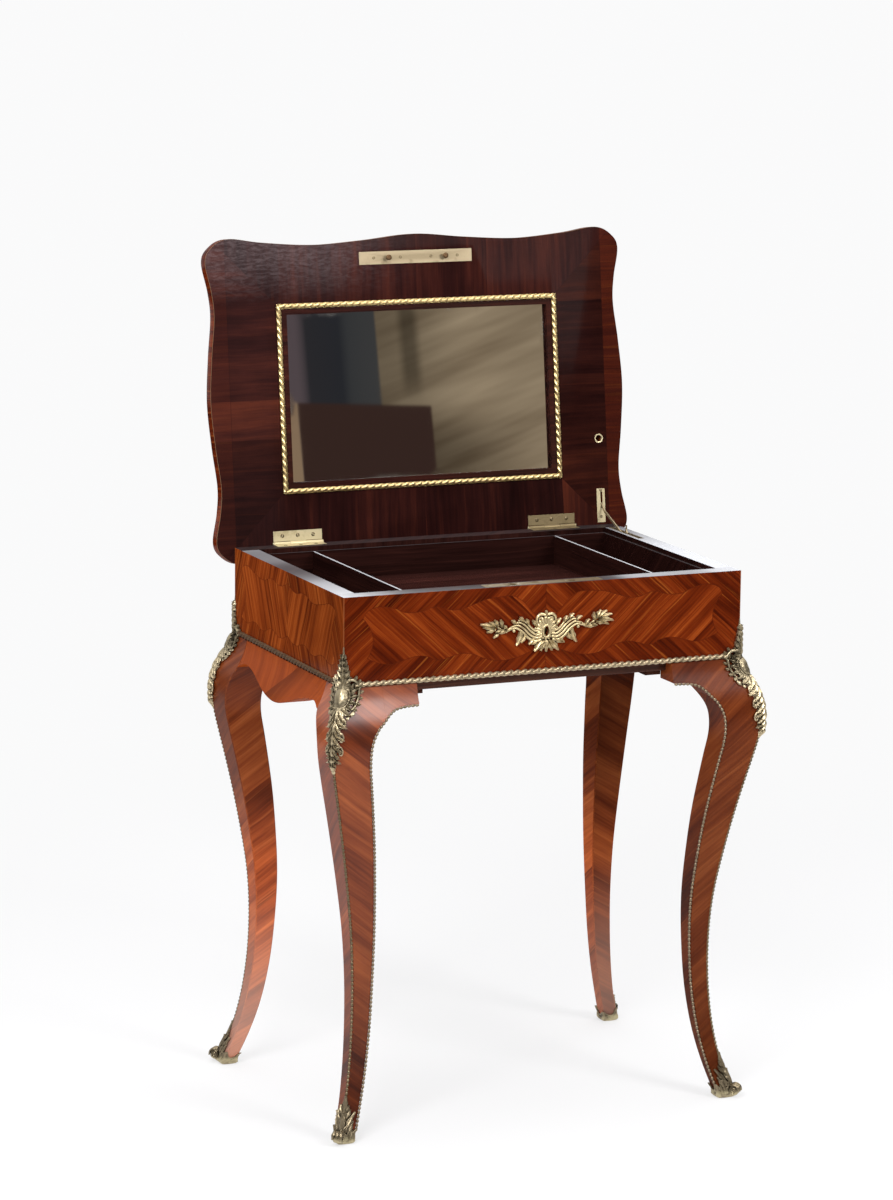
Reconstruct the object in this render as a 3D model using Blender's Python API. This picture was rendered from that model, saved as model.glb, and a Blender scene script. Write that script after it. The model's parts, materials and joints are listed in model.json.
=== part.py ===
"""Veneered work table on cabriole legs, with a fitted tray and a mirrored lid standing open.

Metres, +Z up, the front faces -Y. The soles stand on Z = 0.
"""
import math

import bmesh
import bpy
import numpy as np
from mathutils import Vector

# Case
CASE_W = 0.568
CASE_D = 0.392
CASE_H = 0.118
BASE_Z = 0.607
WALL = 0.025
BOTTOM_T = 0.010
CASE_SHIFT_Y = -0.022
FIT = 0.0003

# Tray
TRAY_DROP = 0.0065
TRAY_DEPTH = 0.040
TRAY_FLOOR_T = 0.004
TRAY_WALL = 0.004
COMPARTMENT_W = 0.0785
PARTITION_T = 0.003
BEARER_W = 0.010
BEARER_H = 0.010

# Legs: outward reach of the arris and inward reach of the inner edge from the case corner
ARRIS_REACH = ((0.000, 0.010), (0.015, 0.006), (0.040, -0.002), (0.080, -0.011), (0.140, -0.0185),
               (0.210, -0.021), (0.280, -0.0175), (0.340, -0.009), (0.400, 0.0015), (0.440, 0.0095),
               (0.480, 0.018), (0.510, 0.0235), (0.530, 0.0245), (0.550, 0.0225), (0.570, 0.0165),
               (0.590, 0.0065), (0.607, 0.002))
INNER_REACH = ((0.000, 0.010), (0.040, 0.023), (0.080, 0.0335), (0.140, 0.0435), (0.210, 0.049),
               (0.280, 0.0505), (0.340, 0.0475), (0.400, 0.0425), (0.440, 0.0375), (0.480, 0.032),
               (0.500, 0.029), (0.525, 0.029), (0.540, 0.032), (0.550, 0.0375), (0.560, 0.0445))
KNEE_BLOCK = 0.053
KNEE_BLOCK_Z = 0.570
FRONT_LEAN = -0.005
REAR_LEAN = 0.010
LEAN_TOP_Z = 0.550
ARRIS_CHAMFER = 0.003
LEG_BOTTOM_Z = 0.006
KNEE_LOW_Z = 0.470
SHANK_STEP = 0.021
KNEE_STEP = 0.0085

# Front ears, aprons, rail and drawer runners
EAR_REACH = 0.1015
EAR_END_H = 0.026
EAR_BACK = 0.030
EAR_ARCH = ((0.0008, 0.0205), (0.0030, 0.033), (0.0065, 0.0395))
APRON_T = 0.018
APRON_ARCH_H = 0.029
APRON_LOBE_H = 0.054
APRON_ARCH_IN = 0.021
APRON_TURN = 0.007
RAIL_BACK = 0.014
RAIL_T = 0.012
RAIL_H = 0.013
RUNNER_W = 0.022
RUNNER_H = 0.021

# Gilt mounts; the rings give height from the case bottom, arm length and thickness
MOUNT_RINGS = ((-0.105, 0.004, 0.0028), (-0.093, 0.008, 0.0045), (-0.077, 0.013, 0.0055),
               (-0.057, 0.018, 0.0058), (-0.037, 0.021, 0.0060), (-0.017, 0.019, 0.0060),
               (0.0, 0.014, 0.0055), (0.009, 0.0135, 0.0050), (0.023, 0.010, 0.0040),
               (0.043, 0.007, 0.0030), (0.061, 0.004, 0.0020))
SABOT_T = 0.0025
SABOT_TONGUE_Z = 0.055
SABOT_FLANK_Z = 0.040
SABOT_CUFF_Z = 0.018
SABOT_LEVELS = ((0.0, 0.003), (0.10, 0.009), (0.22, 0.013), (0.36, 0.009), (0.55, 0.005), (1.0, 0.003))
TRIM_W = 0.0042
TRIM_H = 0.0022
BEAD_R = 0.0015
MOULDING_H = 0.0075
MOULDING_OUT = 0.0048
MOULDING_STOP = 0.0150
ESCUTCHEON_T = 0.003
ESCUTCHEON_HALF = ((0.006, -0.026), (0.018, -0.020), (0.030, -0.011), (0.042, -0.004), (0.056, -0.006),
                   (0.071, 0.000), (0.086, 0.003), (0.097, 0.007), (0.095, 0.011), (0.075, 0.013),
                   (0.055, 0.011), (0.040, 0.008), (0.024, 0.012), (0.012, 0.022))
KEYHOLE_BELOW = 0.061
KEYHOLE_R = 0.0034
KEYHOLE_W = 0.0036
KEYHOLE_DROP = 0.0090

# Lid, in its own frame: Y runs back from the hinge axis, the underside faces -Z
LID_OPEN_DEG = 97.0
LID_SIDE_OVER = 0.024
LID_FRONT_OVER = 0.020
LID_REAR = 0.0245
LID_WAVE = 0.0105
LID_T = 0.020
LID_EDGE = ((0.0015, 0.0), (0.0, 0.075), (0.0, 0.60), (0.0020, 0.85), (0.0065, 1.0))
LID_STEPS = 3
HINGE_BACK = 0.004
HINGE_LIFT = 0.0003
LID_SEAT = 0.0003

# Mirror
MIRROR_V = 0.1967
BORDER_W = 0.418
BORDER_H = 0.2585
BORDER_BAND = 0.007
BORDER_T = 0.0037
SLIP_BAND = 0.0075
SLIP_PROUD = 0.001
MIRROR_RECESS = 0.009
GLASS_T = 0.003

# Hinges
HINGE_IN = 0.0935
HINGE_L = 0.071
HINGE_LEAF = 0.0175
LEAF_T = 0.0015
BARREL_R = 0.003
BARREL_ROOM = 0.0006
PIN_R = 0.0013
PIN_HEAD_R = 0.0024
PIN_HEAD_T = 0.0008
KNUCKLE_GAP = 0.0005

# Lock
PLATE_L = 0.168
PLATE_W = 0.0175
PLATE_T = 0.0018
STUD_X = 0.0423
STUD_NECK_R = 0.0022
STUD_HEAD_R = 0.0040
STUD_HEAD_T = 0.0022
STUD_ROOM = 0.0007
BOLT_L = 0.110
BOLT_W = 0.012
BOLT_T = 0.0025
BOLT_TRAVEL = 0.007
LOCK_H = 0.078
LOCK_W = 0.128
LOCK_T = 0.015
LOCK_WELL = 0.006

# Lid stay
STAY_IN = 0.016
TRACK_W = 0.008
TRACK_DEPTH = 0.0145
TRACK_START = 0.030
TRACK_END = 0.128
SLOT_HALF = 0.0022
SLOT_WALL = 0.0012
SLOT_FLOOR = 0.0012
STAY_PIVOT_V = 0.027
STAY_PIVOT_IN = 0.0025
STAY_CLOSED_V = 0.120
STAY_SLIDER_DROP = 0.008
ARM_T = 0.0016
ARM_EYE_R = 0.0026
ARM_HALF = 0.0017
ARM_CRANK = 0.003
ARM_CRANK_AT = 0.005
ARM_CRANK_END = 0.015
STAY_PLATE_W = 0.0124
STAY_PLATE_LOW_V = 0.002
STAY_PLATE_HIGH_V = 0.0495
STAY_SLOT_HALF = 0.0016
STAY_SLOT_LOW_V = 0.0225
STAY_SLOT_HIGH_V = 0.0450
STAY_SLOT_IN = 0.0080
SLIDER_T = 0.0016
SLIDER_FOOT = 0.006
SLIDER_FOOT_H = 0.003
SLIDER_LEG = 0.0035
SLIDER_STEM = 0.0011
SLIDER_CROTCH = 0.005
SLIDER_TOP = 0.0113
SOCKET_R = 0.005
SOCKET_DEPTH = 0.0140

# Worked out from the sizes above
HALF_W = CASE_W / 2
HALF_D = CASE_D / 2
RIM_Z = BASE_Z + CASE_H
KEYHOLE_Z = RIM_Z - KEYHOLE_BELOW
MOUNT_LOW_Z = BASE_Z + MOUNT_RINGS[0][0]
EAR_END_X = HALF_W - EAR_REACH
HINGE_X = HALF_W - HINGE_IN
STAY_X = HALF_W - STAY_IN
LID_HALF_W = HALF_W + LID_SIDE_OVER
LID_FRONT = CASE_D + HINGE_BACK + LID_FRONT_OVER
AXIS_Y = HALF_D + HINGE_BACK
AXIS_Z = RIM_Z + HINGE_LIFT
TRAY_TOP = RIM_Z - TRAY_DROP
TRAY_FLOOR_TOP = TRAY_TOP - TRAY_DEPTH
TRAY_FLOOR_LOW = TRAY_FLOOR_TOP - TRAY_FLOOR_T
WELL_X = HALF_W - WALL
WELL_Y = HALF_D - WALL
PARTITION_X = WELL_X - COMPARTMENT_W
LOCK_Y = -HALF_D + WALL / 2
LOCK_V = AXIS_Y - LOCK_Y
BOLT_TOP = RIM_Z - PLATE_T - FIT
BOLT_LOW = BOLT_TOP - BOLT_T
RECESS_W = BORDER_W - 2 * BORDER_BAND - 2 * FIT
RECESS_H = BORDER_H - 2 * BORDER_BAND - 2 * FIT

for old in list(bpy.data.objects):
    bpy.data.objects.remove(old, do_unlink=True)


def make_material(name, colour, roughness, metallic):
    material = bpy.data.materials.new(name)
    material.use_nodes = True
    shader = material.node_tree.nodes["Principled BSDF"]
    shader.inputs["Base Color"].default_value = (*colour, 1.0)
    shader.inputs["Roughness"].default_value = roughness
    shader.inputs["Metallic"].default_value = metallic
    return material


KINGWOOD = make_material("kingwood", (0.36, 0.11, 0.035), 0.32, 0.0)
ROSEWOOD = make_material("rosewood", (0.075, 0.02, 0.014), 0.25, 0.0)
DARK_WOOD = make_material("dark_wood", (0.035, 0.012, 0.009), 0.35, 0.0)
CARCASS = make_material("carcass_wood", (0.16, 0.07, 0.035), 0.6, 0.0)
GILT = make_material("gilt_bronze", (0.52, 0.38, 0.15), 0.35, 1.0)
BRASS = make_material("brass", (0.62, 0.50, 0.24), 0.3, 1.0)
MIRROR = make_material("mirror", (0.75, 0.78, 0.78), 0.03, 1.0)


def make_empty(name, location, parent=None, turn_x=0.0):
    empty = bpy.data.objects.new(name, None)
    bpy.context.scene.collection.objects.link(empty)
    empty.location = location
    empty.rotation_euler = (turn_x, 0.0, 0.0)
    empty.parent = parent
    return empty


TABLE = make_empty("work_table", (0.0, CASE_SHIFT_Y, 0.0))
LID = make_empty("lid_pivot", (0.0, AXIS_Y, AXIS_Z), TABLE, -math.radians(LID_OPEN_DEG))


def make_object(name, bm, material, parent=TABLE, location=(0.0, 0.0, 0.0), smooth=None):
    """Close a bmesh into a named object; smooth is the crease angle in degrees of a round piece."""
    bmesh.ops.recalc_face_normals(bm, faces=bm.faces)
    mesh = bpy.data.meshes.new(name)
    bm.to_mesh(mesh)
    bm.free()
    if smooth is not None:
        mesh.shade_smooth()
        mesh.set_sharp_from_angle(angle=math.radians(smooth))
    if material:
        mesh.materials.append(material)
    obj = bpy.data.objects.new(name, mesh)
    bpy.context.scene.collection.objects.link(obj)
    obj.parent = parent
    obj.location = location
    return obj


def loft(rings):
    """Skin a row of point rings, each with the same count, and cap both ends."""
    bm = bmesh.new()
    loops = []
    for ring in rings:
        loops.append([bm.verts.new(point) for point in ring])
    count = len(loops[0])
    for lower, upper in zip(loops, loops[1:]):
        for i in range(count):
            j = (i + 1) % count
            bm.faces.new((lower[i], lower[j], upper[j], upper[i]))
    bm.faces.new(loops[0])
    bm.faces.new(loops[-1])
    return bm


def block(name, low, high, material, parent=TABLE):
    """Box between two corners, with its origin at its centre."""
    centre = (Vector(low) + Vector(high)) / 2
    half = (Vector(high) - Vector(low)) / 2
    rings = []
    for z in (-half.z, half.z):
        rings.append([(sx * half.x, sy * half.y, z) for sx, sy in ((-1, -1), (1, -1), (1, 1), (-1, 1))])
    return make_object(name, loft(rings), material, parent, centre)


def prism(name, outline, axis, low, high, material, parent=TABLE, smooth=None):
    """Extrude a flat outline along one axis; the outline's two numbers take the other axes in order."""
    rings = []
    for level in (low, high):
        ring = []
        for first, second in outline:
            point = [first, second]
            point.insert("xyz".index(axis), level)
            ring.append(point)
        rings.append(ring)
    return make_object(name, loft(rings), material, parent, smooth=smooth)


def circle(centre, radius, steps=16):
    points = []
    for i in range(steps):
        angle = 2 * math.pi * i / steps
        points.append((centre[0] + radius * math.cos(angle), centre[1] + radius * math.sin(angle)))
    return points


def apply_boolean(target, tool, operation):
    """Cut or join a tool shape into a target, then drop the tool."""
    change = target.modifiers.new("shape", "BOOLEAN")
    change.operation = operation
    change.solver = "EXACT"
    change.object = tool
    bpy.context.view_layer.update()
    graph = bpy.context.evaluated_depsgraph_get()
    mesh = bpy.data.meshes.new_from_object(target.evaluated_get(graph))
    target.modifiers.clear()
    target.data = mesh
    bpy.data.objects.remove(tool, do_unlink=True)


def cut(target, tool):
    apply_boolean(target, tool, "DIFFERENCE")


def join(target, tool):
    apply_boolean(target, tool, "UNION")


def cut_block(target, low, high):
    cut(target, block("cutter", low, high, None, target.parent))


def cut_prism(target, outline, axis, low, high):
    cut(target, prism("cutter", outline, axis, low, high, None, target.parent))


def smooth_value(knots, at):
    """Read a smooth curve through (place, value) knots."""
    places = np.array([k[0] for k in knots])
    values = np.array([k[1] for k in knots])
    slopes = np.gradient(values, places)
    at = min(max(at, places[0]), places[-1])
    i = min(int(np.searchsorted(places, at, side="right")) - 1, len(places) - 2)
    span = places[i + 1] - places[i]
    t = (at - places[i]) / span
    low = (2 * t ** 3 - 3 * t ** 2 + 1) * values[i] + (t ** 3 - 2 * t ** 2 + t) * span * slopes[i]
    high = (3 * t ** 2 - 2 * t ** 3) * values[i + 1] + (t ** 3 - t ** 2) * span * slopes[i + 1]
    return float(low + high)


def even_levels(low, high, step):
    count = max(1, round((high - low) / step))
    return [low + (high - low) * i / count for i in range(count)]


LEG_LEVELS = (even_levels(0.0, KNEE_LOW_Z, SHANK_STEP) + even_levels(KNEE_LOW_Z, KNEE_BLOCK_Z, KNEE_STEP)
              + even_levels(KNEE_BLOCK_Z, BASE_Z, KNEE_STEP) + [BASE_Z])
ARRIS_AT_LEVELS = [smooth_value(ARRIS_REACH, z) for z in LEG_LEVELS]
INNER_KNOTS = INNER_REACH + ((KNEE_BLOCK_Z, KNEE_BLOCK), (BASE_Z, KNEE_BLOCK))
INNER_AT_LEVELS = [min(smooth_value(INNER_KNOTS, z), KNEE_BLOCK) for z in LEG_LEVELS]


def levels_between(low, high):
    """Ring heights of the legs between two heights, ends included."""
    return [low] + [z for z in LEG_LEVELS if low + FIT < z < high - FIT] + [high]


def lean_at(lean, z):
    return lean * max(0.0, 1.0 - z / LEAN_TOP_Z)


def arris_reach(z, lean):
    return float(np.interp(z, LEG_LEVELS, ARRIS_AT_LEVELS)) + lean_at(lean, z)


def inner_reach(z, lean):
    return float(np.interp(z, LEG_LEVELS, INNER_AT_LEVELS)) - lean_at(lean, z)


CORNERS = {
    "front_left": (-1, -1, FRONT_LEAN),
    "front_right": (1, -1, FRONT_LEAN),
    "rear_left": (-1, 1, REAR_LEAN),
    "rear_right": (1, 1, REAR_LEAN),
}


def corner_place(sign_x, sign_y):
    return (sign_x * HALF_W, sign_y * HALF_D, 0.0)


def corner_ring(sign_x, sign_y, points):
    """Turn (outward x, outward y, z) points into one corner's own directions."""
    return [(sign_x * out_x, sign_y * out_y, z) for out_x, out_y, z in points]


def leg_section(z, lean, grow=0.0):
    out = arris_reach(z, lean) + grow
    inn = inner_reach(z, lean) + grow
    edge = ARRIS_CHAMFER
    return [(out, out - edge, z), (out - edge, out, z), (-inn, out, z), (-inn, -inn, z), (out, -inn, z)]


def make_leg(corner):
    sign_x, sign_y, lean = CORNERS[corner]
    rings = []
    for z in levels_between(LEG_BOTTOM_Z, BASE_Z - FIT):
        rings.append(corner_ring(sign_x, sign_y, leg_section(z, lean)))
    make_object("leg_" + corner, loft(rings), KINGWOOD, TABLE, corner_place(sign_x, sign_y), 40)


def make_sabot(corner):
    """Bronze shoe: a low cuff round the foot, a tongue up the arris and a toe that turns out."""
    sign_x, sign_y, lean = CORNERS[corner]
    rings = []
    for level, toe in SABOT_LEVELS:
        points = []
        for place, top in (("toe", SABOT_TONGUE_Z), ("flank_y", SABOT_FLANK_Z), ("heel_y", SABOT_CUFF_Z),
                           ("inner", SABOT_CUFF_Z), ("heel_x", SABOT_CUFF_Z), ("flank_x", SABOT_FLANK_Z)):
            z = level * top
            out = arris_reach(z, lean)
            far = inner_reach(z, lean) + SABOT_T
            middle = out - (out + far) * 0.4
            side = out + SABOT_T
            spot = {"toe": (out + toe, out + toe), "flank_y": (side, middle), "heel_y": (side, -far),
                    "inner": (-far, -far), "heel_x": (-far, side), "flank_x": (middle, side)}[place]
            points.append((*spot, z))
        rings.append(corner_ring(sign_x, sign_y, points))
    place = corner_place(sign_x, sign_y)
    sabot = make_object("sabot_" + corner, loft(rings), GILT, TABLE, place, 50)
    rings = []
    for z in levels_between(LEG_BOTTOM_Z - FIT, SABOT_TONGUE_Z * 1.2):
        rings.append(corner_ring(sign_x, sign_y, leg_section(z, lean, FIT)))
    cut(sabot, make_object("cutter", loft(rings), None, TABLE, place))


def make_knee_mount(corner):
    """Bronze chute that wraps the corner of the case and the knee below it."""
    sign_x, sign_y, lean = CORNERS[corner]
    rings = []
    arms = [(BASE_Z + up, arm) for up, arm, thick in MOUNT_RINGS]
    bodies = [(BASE_Z + up, thick) for up, arm, thick in MOUNT_RINGS]
    heights = levels_between(MOUNT_LOW_Z, BASE_Z) + [z for z, arm in arms if z > BASE_Z]
    for z in heights:
        arm = smooth_value(arms, z)
        thick = smooth_value(bodies, z)
        out = (arris_reach(z, lean) if z <= BASE_Z else 0.0) + FIT
        half = out - arm / 2
        end = out - arm
        rim = out + 0.4 * thick
        nose = out + 0.8 * thick
        full = out + thick
        points = [(out, out), (end, out), (end, rim), (half, full),
                  (nose, nose), (full, half), (rim, end), (out, end)]
        rings.append(corner_ring(sign_x, sign_y, [(*point, z) for point in points]))
    make_object("knee_mount_" + corner, loft(rings), GILT, TABLE, corner_place(sign_x, sign_y), 50)


def make_arris_trim(corner):
    """Gilt strip down the chamfered outer arris, from the knee mount to the shoe."""
    sign_x, sign_y, lean = CORNERS[corner]
    rings = []
    for z in levels_between(SABOT_TONGUE_Z + FIT, MOUNT_LOW_Z - FIT):
        seat = arris_reach(z, lean) - ARRIS_CHAMFER / 2
        points = []
        for across, up in ((-0.5, 0.0), (-0.4, 0.65), (0.0, 1.0), (0.4, 0.65), (0.5, 0.0)):
            shift = across * TRIM_W / math.sqrt(2)
            rise = (FIT + up * TRIM_H) / math.sqrt(2)
            points.append((seat + rise + shift, seat + rise - shift, z))
        rings.append(corner_ring(sign_x, sign_y, points))
    make_object("leg_arris_trim_" + corner, loft(rings), GILT, TABLE, corner_place(sign_x, sign_y), 50)


def ear_knots():
    """Height and inward reach along the underside of a front ear, from its cut end to the leg."""
    end_z = BASE_Z - EAR_END_H
    knots = [(end_z, EAR_REACH)]
    for drop, along in EAR_ARCH:
        knots.append((end_z - drop, EAR_REACH - along))
    last_z, last_reach = knots[-1]
    knots.append(((last_z + KNEE_BLOCK_Z) / 2 - FIT, KNEE_BLOCK + (last_reach - KNEE_BLOCK) * 0.4))
    return knots


def make_ear(side):
    """Knee block beside a front leg, ending in a cut upright face."""
    sign_x = {"left": -1, "right": 1}[side]
    levels = [(BASE_Z - FIT, EAR_REACH), (BASE_Z - EAR_END_H / 2, EAR_REACH)] + ear_knots()
    rings = []
    for z, reach in levels:
        front = arris_reach(z, FRONT_LEAN)
        points = [(-KNEE_BLOCK - FIT, front, z), (-reach, front, z), (-reach, -EAR_BACK, z),
                  (-KNEE_BLOCK - FIT, -EAR_BACK, z)]
        rings.append(corner_ring(sign_x, -1, points))
    make_object("front_ear_" + side, loft(rings), KINGWOOD, TABLE, corner_place(sign_x, -1), 35)


def make_inner_trim(side):
    """Gilt bead under a front ear and down the inner front edge of its leg."""
    sign_x = {"left": -1, "right": 1}[side]
    path = [(-reach, z) for z, reach in ear_knots()]
    for z in levels_between(SABOT_CUFF_Z + 4 * BEAD_R, KNEE_BLOCK_Z)[::-1]:
        path.append((-inner_reach(z, FRONT_LEAN), z))
    rings = []
    for i, (x, z) in enumerate(path):
        before = Vector(path[max(i - 1, 0)])
        after = Vector(path[min(i + 1, len(path) - 1)])
        along = (after - before).normalized()
        away = Vector((along.y, -along.x))
        front = arris_reach(z, FRONT_LEAN)
        points = []
        near = 1.5 * FIT
        for off, out in ((near, -BEAD_R), (2 * BEAD_R, -BEAD_R), (2 * BEAD_R, BEAD_R), (near, BEAD_R)):
            points.append((x + away.x * off, front + out, z + away.y * off))
        rings.append(corner_ring(sign_x, -1, points))
    make_object("leg_inner_trim_" + side, loft(rings), GILT, TABLE, corner_place(sign_x, -1), 50)


def apron_edge(along, half):
    """Drop of an apron's lower edge: one broad lobe between two small arches."""
    arch = half - APRON_ARCH_IN
    if abs(along) <= arch:
        swing = (1 + math.cos(math.pi * along / arch)) / 2
        return APRON_ARCH_H + (APRON_LOBE_H - APRON_ARCH_H) * swing
    turn = (abs(along) - arch) / APRON_ARCH_IN
    return APRON_ARCH_H + APRON_TURN * turn ** 2


def make_apron(name, half, place):
    """Shaped rail between two legs; place turns (along, outward, z) into table directions."""
    count = 28
    levels = 5
    rings = []
    for i in range(count + 1):
        along = -half + 2 * half * i / count
        low = BASE_Z - apron_edge(along, half)
        high = BASE_Z - FIT
        points = [place(along, -APRON_T, high), place(along, -APRON_T, low)]
        for k in range(levels + 1):
            z = low + (high - low) * k / levels
            points.append(place(along, smooth_value(ARRIS_REACH, z), z))
        rings.append(points)
    make_object(name, loft(rings), KINGWOOD, TABLE, (0.0, 0.0, 0.0), 35)


def make_moulding(name, half, place):
    """Half-round ribbon strip along the foot of one case side."""
    profile = ((FIT, 0.0), (0.8, 0.12), (1.0, 0.5), (0.8, 0.88), (FIT, 1.0))
    rings = []
    for along in (-half, half):
        ring = []
        for out, up in profile:
            reach = out if out == FIT else out * MOULDING_OUT
            ring.append(place(along, reach, BASE_Z + up * MOULDING_H))
        rings.append(ring)
    make_object(name, loft(rings), GILT, TABLE, (0.0, 0.0, 0.0), 50)


def on_left(along, out, z):
    return (-HALF_W - out, along, z)


def on_right(along, out, z):
    return (HALF_W + out, along, z)


def on_back(along, out, z):
    return (along, HALF_D + out, z)


def on_front(along, out, z):
    return (along, -HALF_D - out, z)


def keyhole_outline(grow=0.0):
    """Round top with a straight slot below, as (x, z)."""
    radius = KEYHOLE_R + grow
    half = KEYHOLE_W / 2 + grow
    start = -math.pi / 2 + math.asin(half / radius)
    sweep = 2 * math.pi - 2 * math.asin(half / radius)
    points = []
    for i in range(13):
        angle = start + sweep * i / 12
        points.append((radius * math.cos(angle), KEYHOLE_Z + radius * math.sin(angle)))
    points.append((-half, KEYHOLE_Z - KEYHOLE_DROP - grow))
    points.append((half, KEYHOLE_Z - KEYHOLE_DROP - grow))
    return points


def make_case():
    front = block("case_front", (-HALF_W, -HALF_D, BASE_Z), (HALF_W, -HALF_D + WALL, RIM_Z), KINGWOOD)
    back = block("case_back", (-HALF_W, HALF_D - WALL, BASE_Z), (HALF_W, HALF_D, RIM_Z), KINGWOOD)
    side_y = WELL_Y - FIT
    block("case_left", (-HALF_W, -side_y, BASE_Z), (-WELL_X, side_y, RIM_Z), KINGWOOD)
    right = block("case_right", (WELL_X, -side_y, BASE_Z), (HALF_W, side_y, RIM_Z), KINGWOOD)
    over = RIM_Z + WALL
    half_l = PLATE_L / 2 + FIT
    half_w = PLATE_W / 2 + FIT
    cut_block(front, (-half_l, LOCK_Y - half_w, RIM_Z - PLATE_T - FIT), (half_l, LOCK_Y + half_w, over))
    half_l = LOCK_W / 2 + FIT
    half_t = LOCK_T / 2 + FIT
    cut_block(front, (-half_l, LOCK_Y - half_t, RIM_Z - LOCK_H - FIT), (half_l, LOCK_Y + half_t, over))
    cut_prism(front, keyhole_outline(), "y", -HALF_D - WALL, LOCK_Y)
    for sign in (-1, 1):
        leaf_low = (sign * HINGE_X - HINGE_L / 2 - FIT, AXIS_Y - HINGE_LEAF - FIT, RIM_Z - LEAF_T - FIT)
        leaf_high = (sign * HINGE_X + HINGE_L / 2 + FIT, HALF_D + WALL, over)
        cut_block(back, leaf_low, leaf_high)
    half_w = TRACK_W / 2 + FIT
    cut_block(right, (STAY_X - half_w, AXIS_Y - TRACK_END - FIT, RIM_Z - TRACK_DEPTH - FIT),
              (STAY_X + half_w, AXIS_Y - TRACK_START + FIT, over))
    room = WELL_X - FIT
    block("case_bottom", (-room, -side_y, BASE_Z), (room, side_y, BASE_Z + BOTTOM_T), CARCASS)


def make_tray():
    out_x = WELL_X - FIT
    out_y = WELL_Y - FIT
    block("tray_floor", (-out_x, -out_y, TRAY_FLOOR_LOW), (out_x, out_y, TRAY_FLOOR_TOP), DARK_WOOD)
    low = TRAY_FLOOR_TOP + FIT
    frame = block("tray_frame", (-out_x, -out_y, low), (out_x, out_y, TRAY_TOP), DARK_WOOD)
    in_x = out_x - TRAY_WALL
    in_y = out_y - TRAY_WALL
    cut_block(frame, (-in_x, -in_y, low - WALL), (in_x, in_y, TRAY_TOP + WALL))
    for side, sign in (("left", -1), ("right", 1)):
        middle = sign * PARTITION_X
        block("tray_partition_" + side, (middle - PARTITION_T / 2, -in_y + FIT, low),
              (middle + PARTITION_T / 2, in_y - FIT, TRAY_TOP), DARK_WOOD)
        near = sign * out_x
        far = sign * (out_x - BEARER_W)
        high = TRAY_FLOOR_LOW - FIT
        block("tray_bearer_" + side, (min(near, far), -out_y, high - BEARER_H),
              (max(near, far), out_y, high), CARCASS)


def make_drawer_bay():
    block("front_rail", (-EAR_END_X + FIT, -HALF_D + RAIL_BACK, BASE_Z - RAIL_H),
          (EAR_END_X - FIT, -HALF_D + RAIL_BACK + RAIL_T, BASE_Z - FIT), CARCASS)
    for side, sign in (("left", -1), ("right", 1)):
        near = sign * EAR_END_X
        far = sign * (EAR_END_X - RUNNER_W)
        block("drawer_runner_" + side, (min(near, far), -HALF_D + EAR_BACK + FIT, BASE_Z - RUNNER_H),
              (max(near, far), HALF_D - APRON_T - FIT, BASE_Z - FIT), CARCASS)


def make_escutcheon():
    outline = [(x, KEYHOLE_Z + z) for x, z in ESCUTCHEON_HALF]
    outline += [(-x, KEYHOLE_Z + z) for x, z in ESCUTCHEON_HALF[::-1]]
    plate = prism("escutcheon", outline, "y", -HALF_D - FIT - ESCUTCHEON_T, -HALF_D - FIT, GILT)
    cut_prism(plate, keyhole_outline(FIT), "y", -HALF_D - WALL, -HALF_D)


def make_lock():
    """Link lock: a plate on the rim, a bolt that slides under it, and the case let into the front."""
    half = PLATE_W / 2
    plate = block("lock_selvage", (-PLATE_L / 2, LOCK_Y - half, RIM_Z - PLATE_T),
                  (PLATE_L / 2, LOCK_Y + half, RIM_Z), BRASS)
    bolt = block("lock_bolt", (-BOLT_L / 2, LOCK_Y - BOLT_W / 2, BOLT_LOW),
                 (BOLT_L / 2, LOCK_Y + BOLT_W / 2, BOLT_TOP), BRASS)
    case_top = RIM_Z - PLATE_T - FIT
    case = block("lock_case", (-LOCK_W / 2, LOCK_Y - LOCK_T / 2, RIM_Z - LOCK_H),
                 (LOCK_W / 2, LOCK_Y + LOCK_T / 2, case_top), BRASS)
    run = BOLT_L / 2 + FIT
    wide = BOLT_W / 2 + FIT
    cut_block(case, (-run, LOCK_Y - wide, BOLT_LOW - FIT), (run + BOLT_TRAVEL, LOCK_Y + wide, RIM_Z))
    hole = STUD_HEAD_R + STUD_ROOM
    slot = STUD_NECK_R + FIT
    for sign in (-1, 1):
        stud = sign * STUD_X
        cut_prism(plate, circle((stud, LOCK_Y), hole), "z", BOLT_LOW, RIM_Z + WALL)
        cut_prism(bolt, circle((stud, LOCK_Y), hole), "z", BOLT_LOW - WALL, RIM_Z)
        cut_block(bolt, (stud - BOLT_TRAVEL - slot, LOCK_Y - slot, BOLT_LOW - WALL),
                  (stud, LOCK_Y + slot, RIM_Z))
        cut_block(case, (stud - hole, LOCK_Y - hole, BOLT_LOW - LOCK_WELL),
                  (stud + hole, LOCK_Y + hole, RIM_Z))
    cut_prism(case, keyhole_outline(), "y", LOCK_Y - LOCK_T, LOCK_Y)


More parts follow.
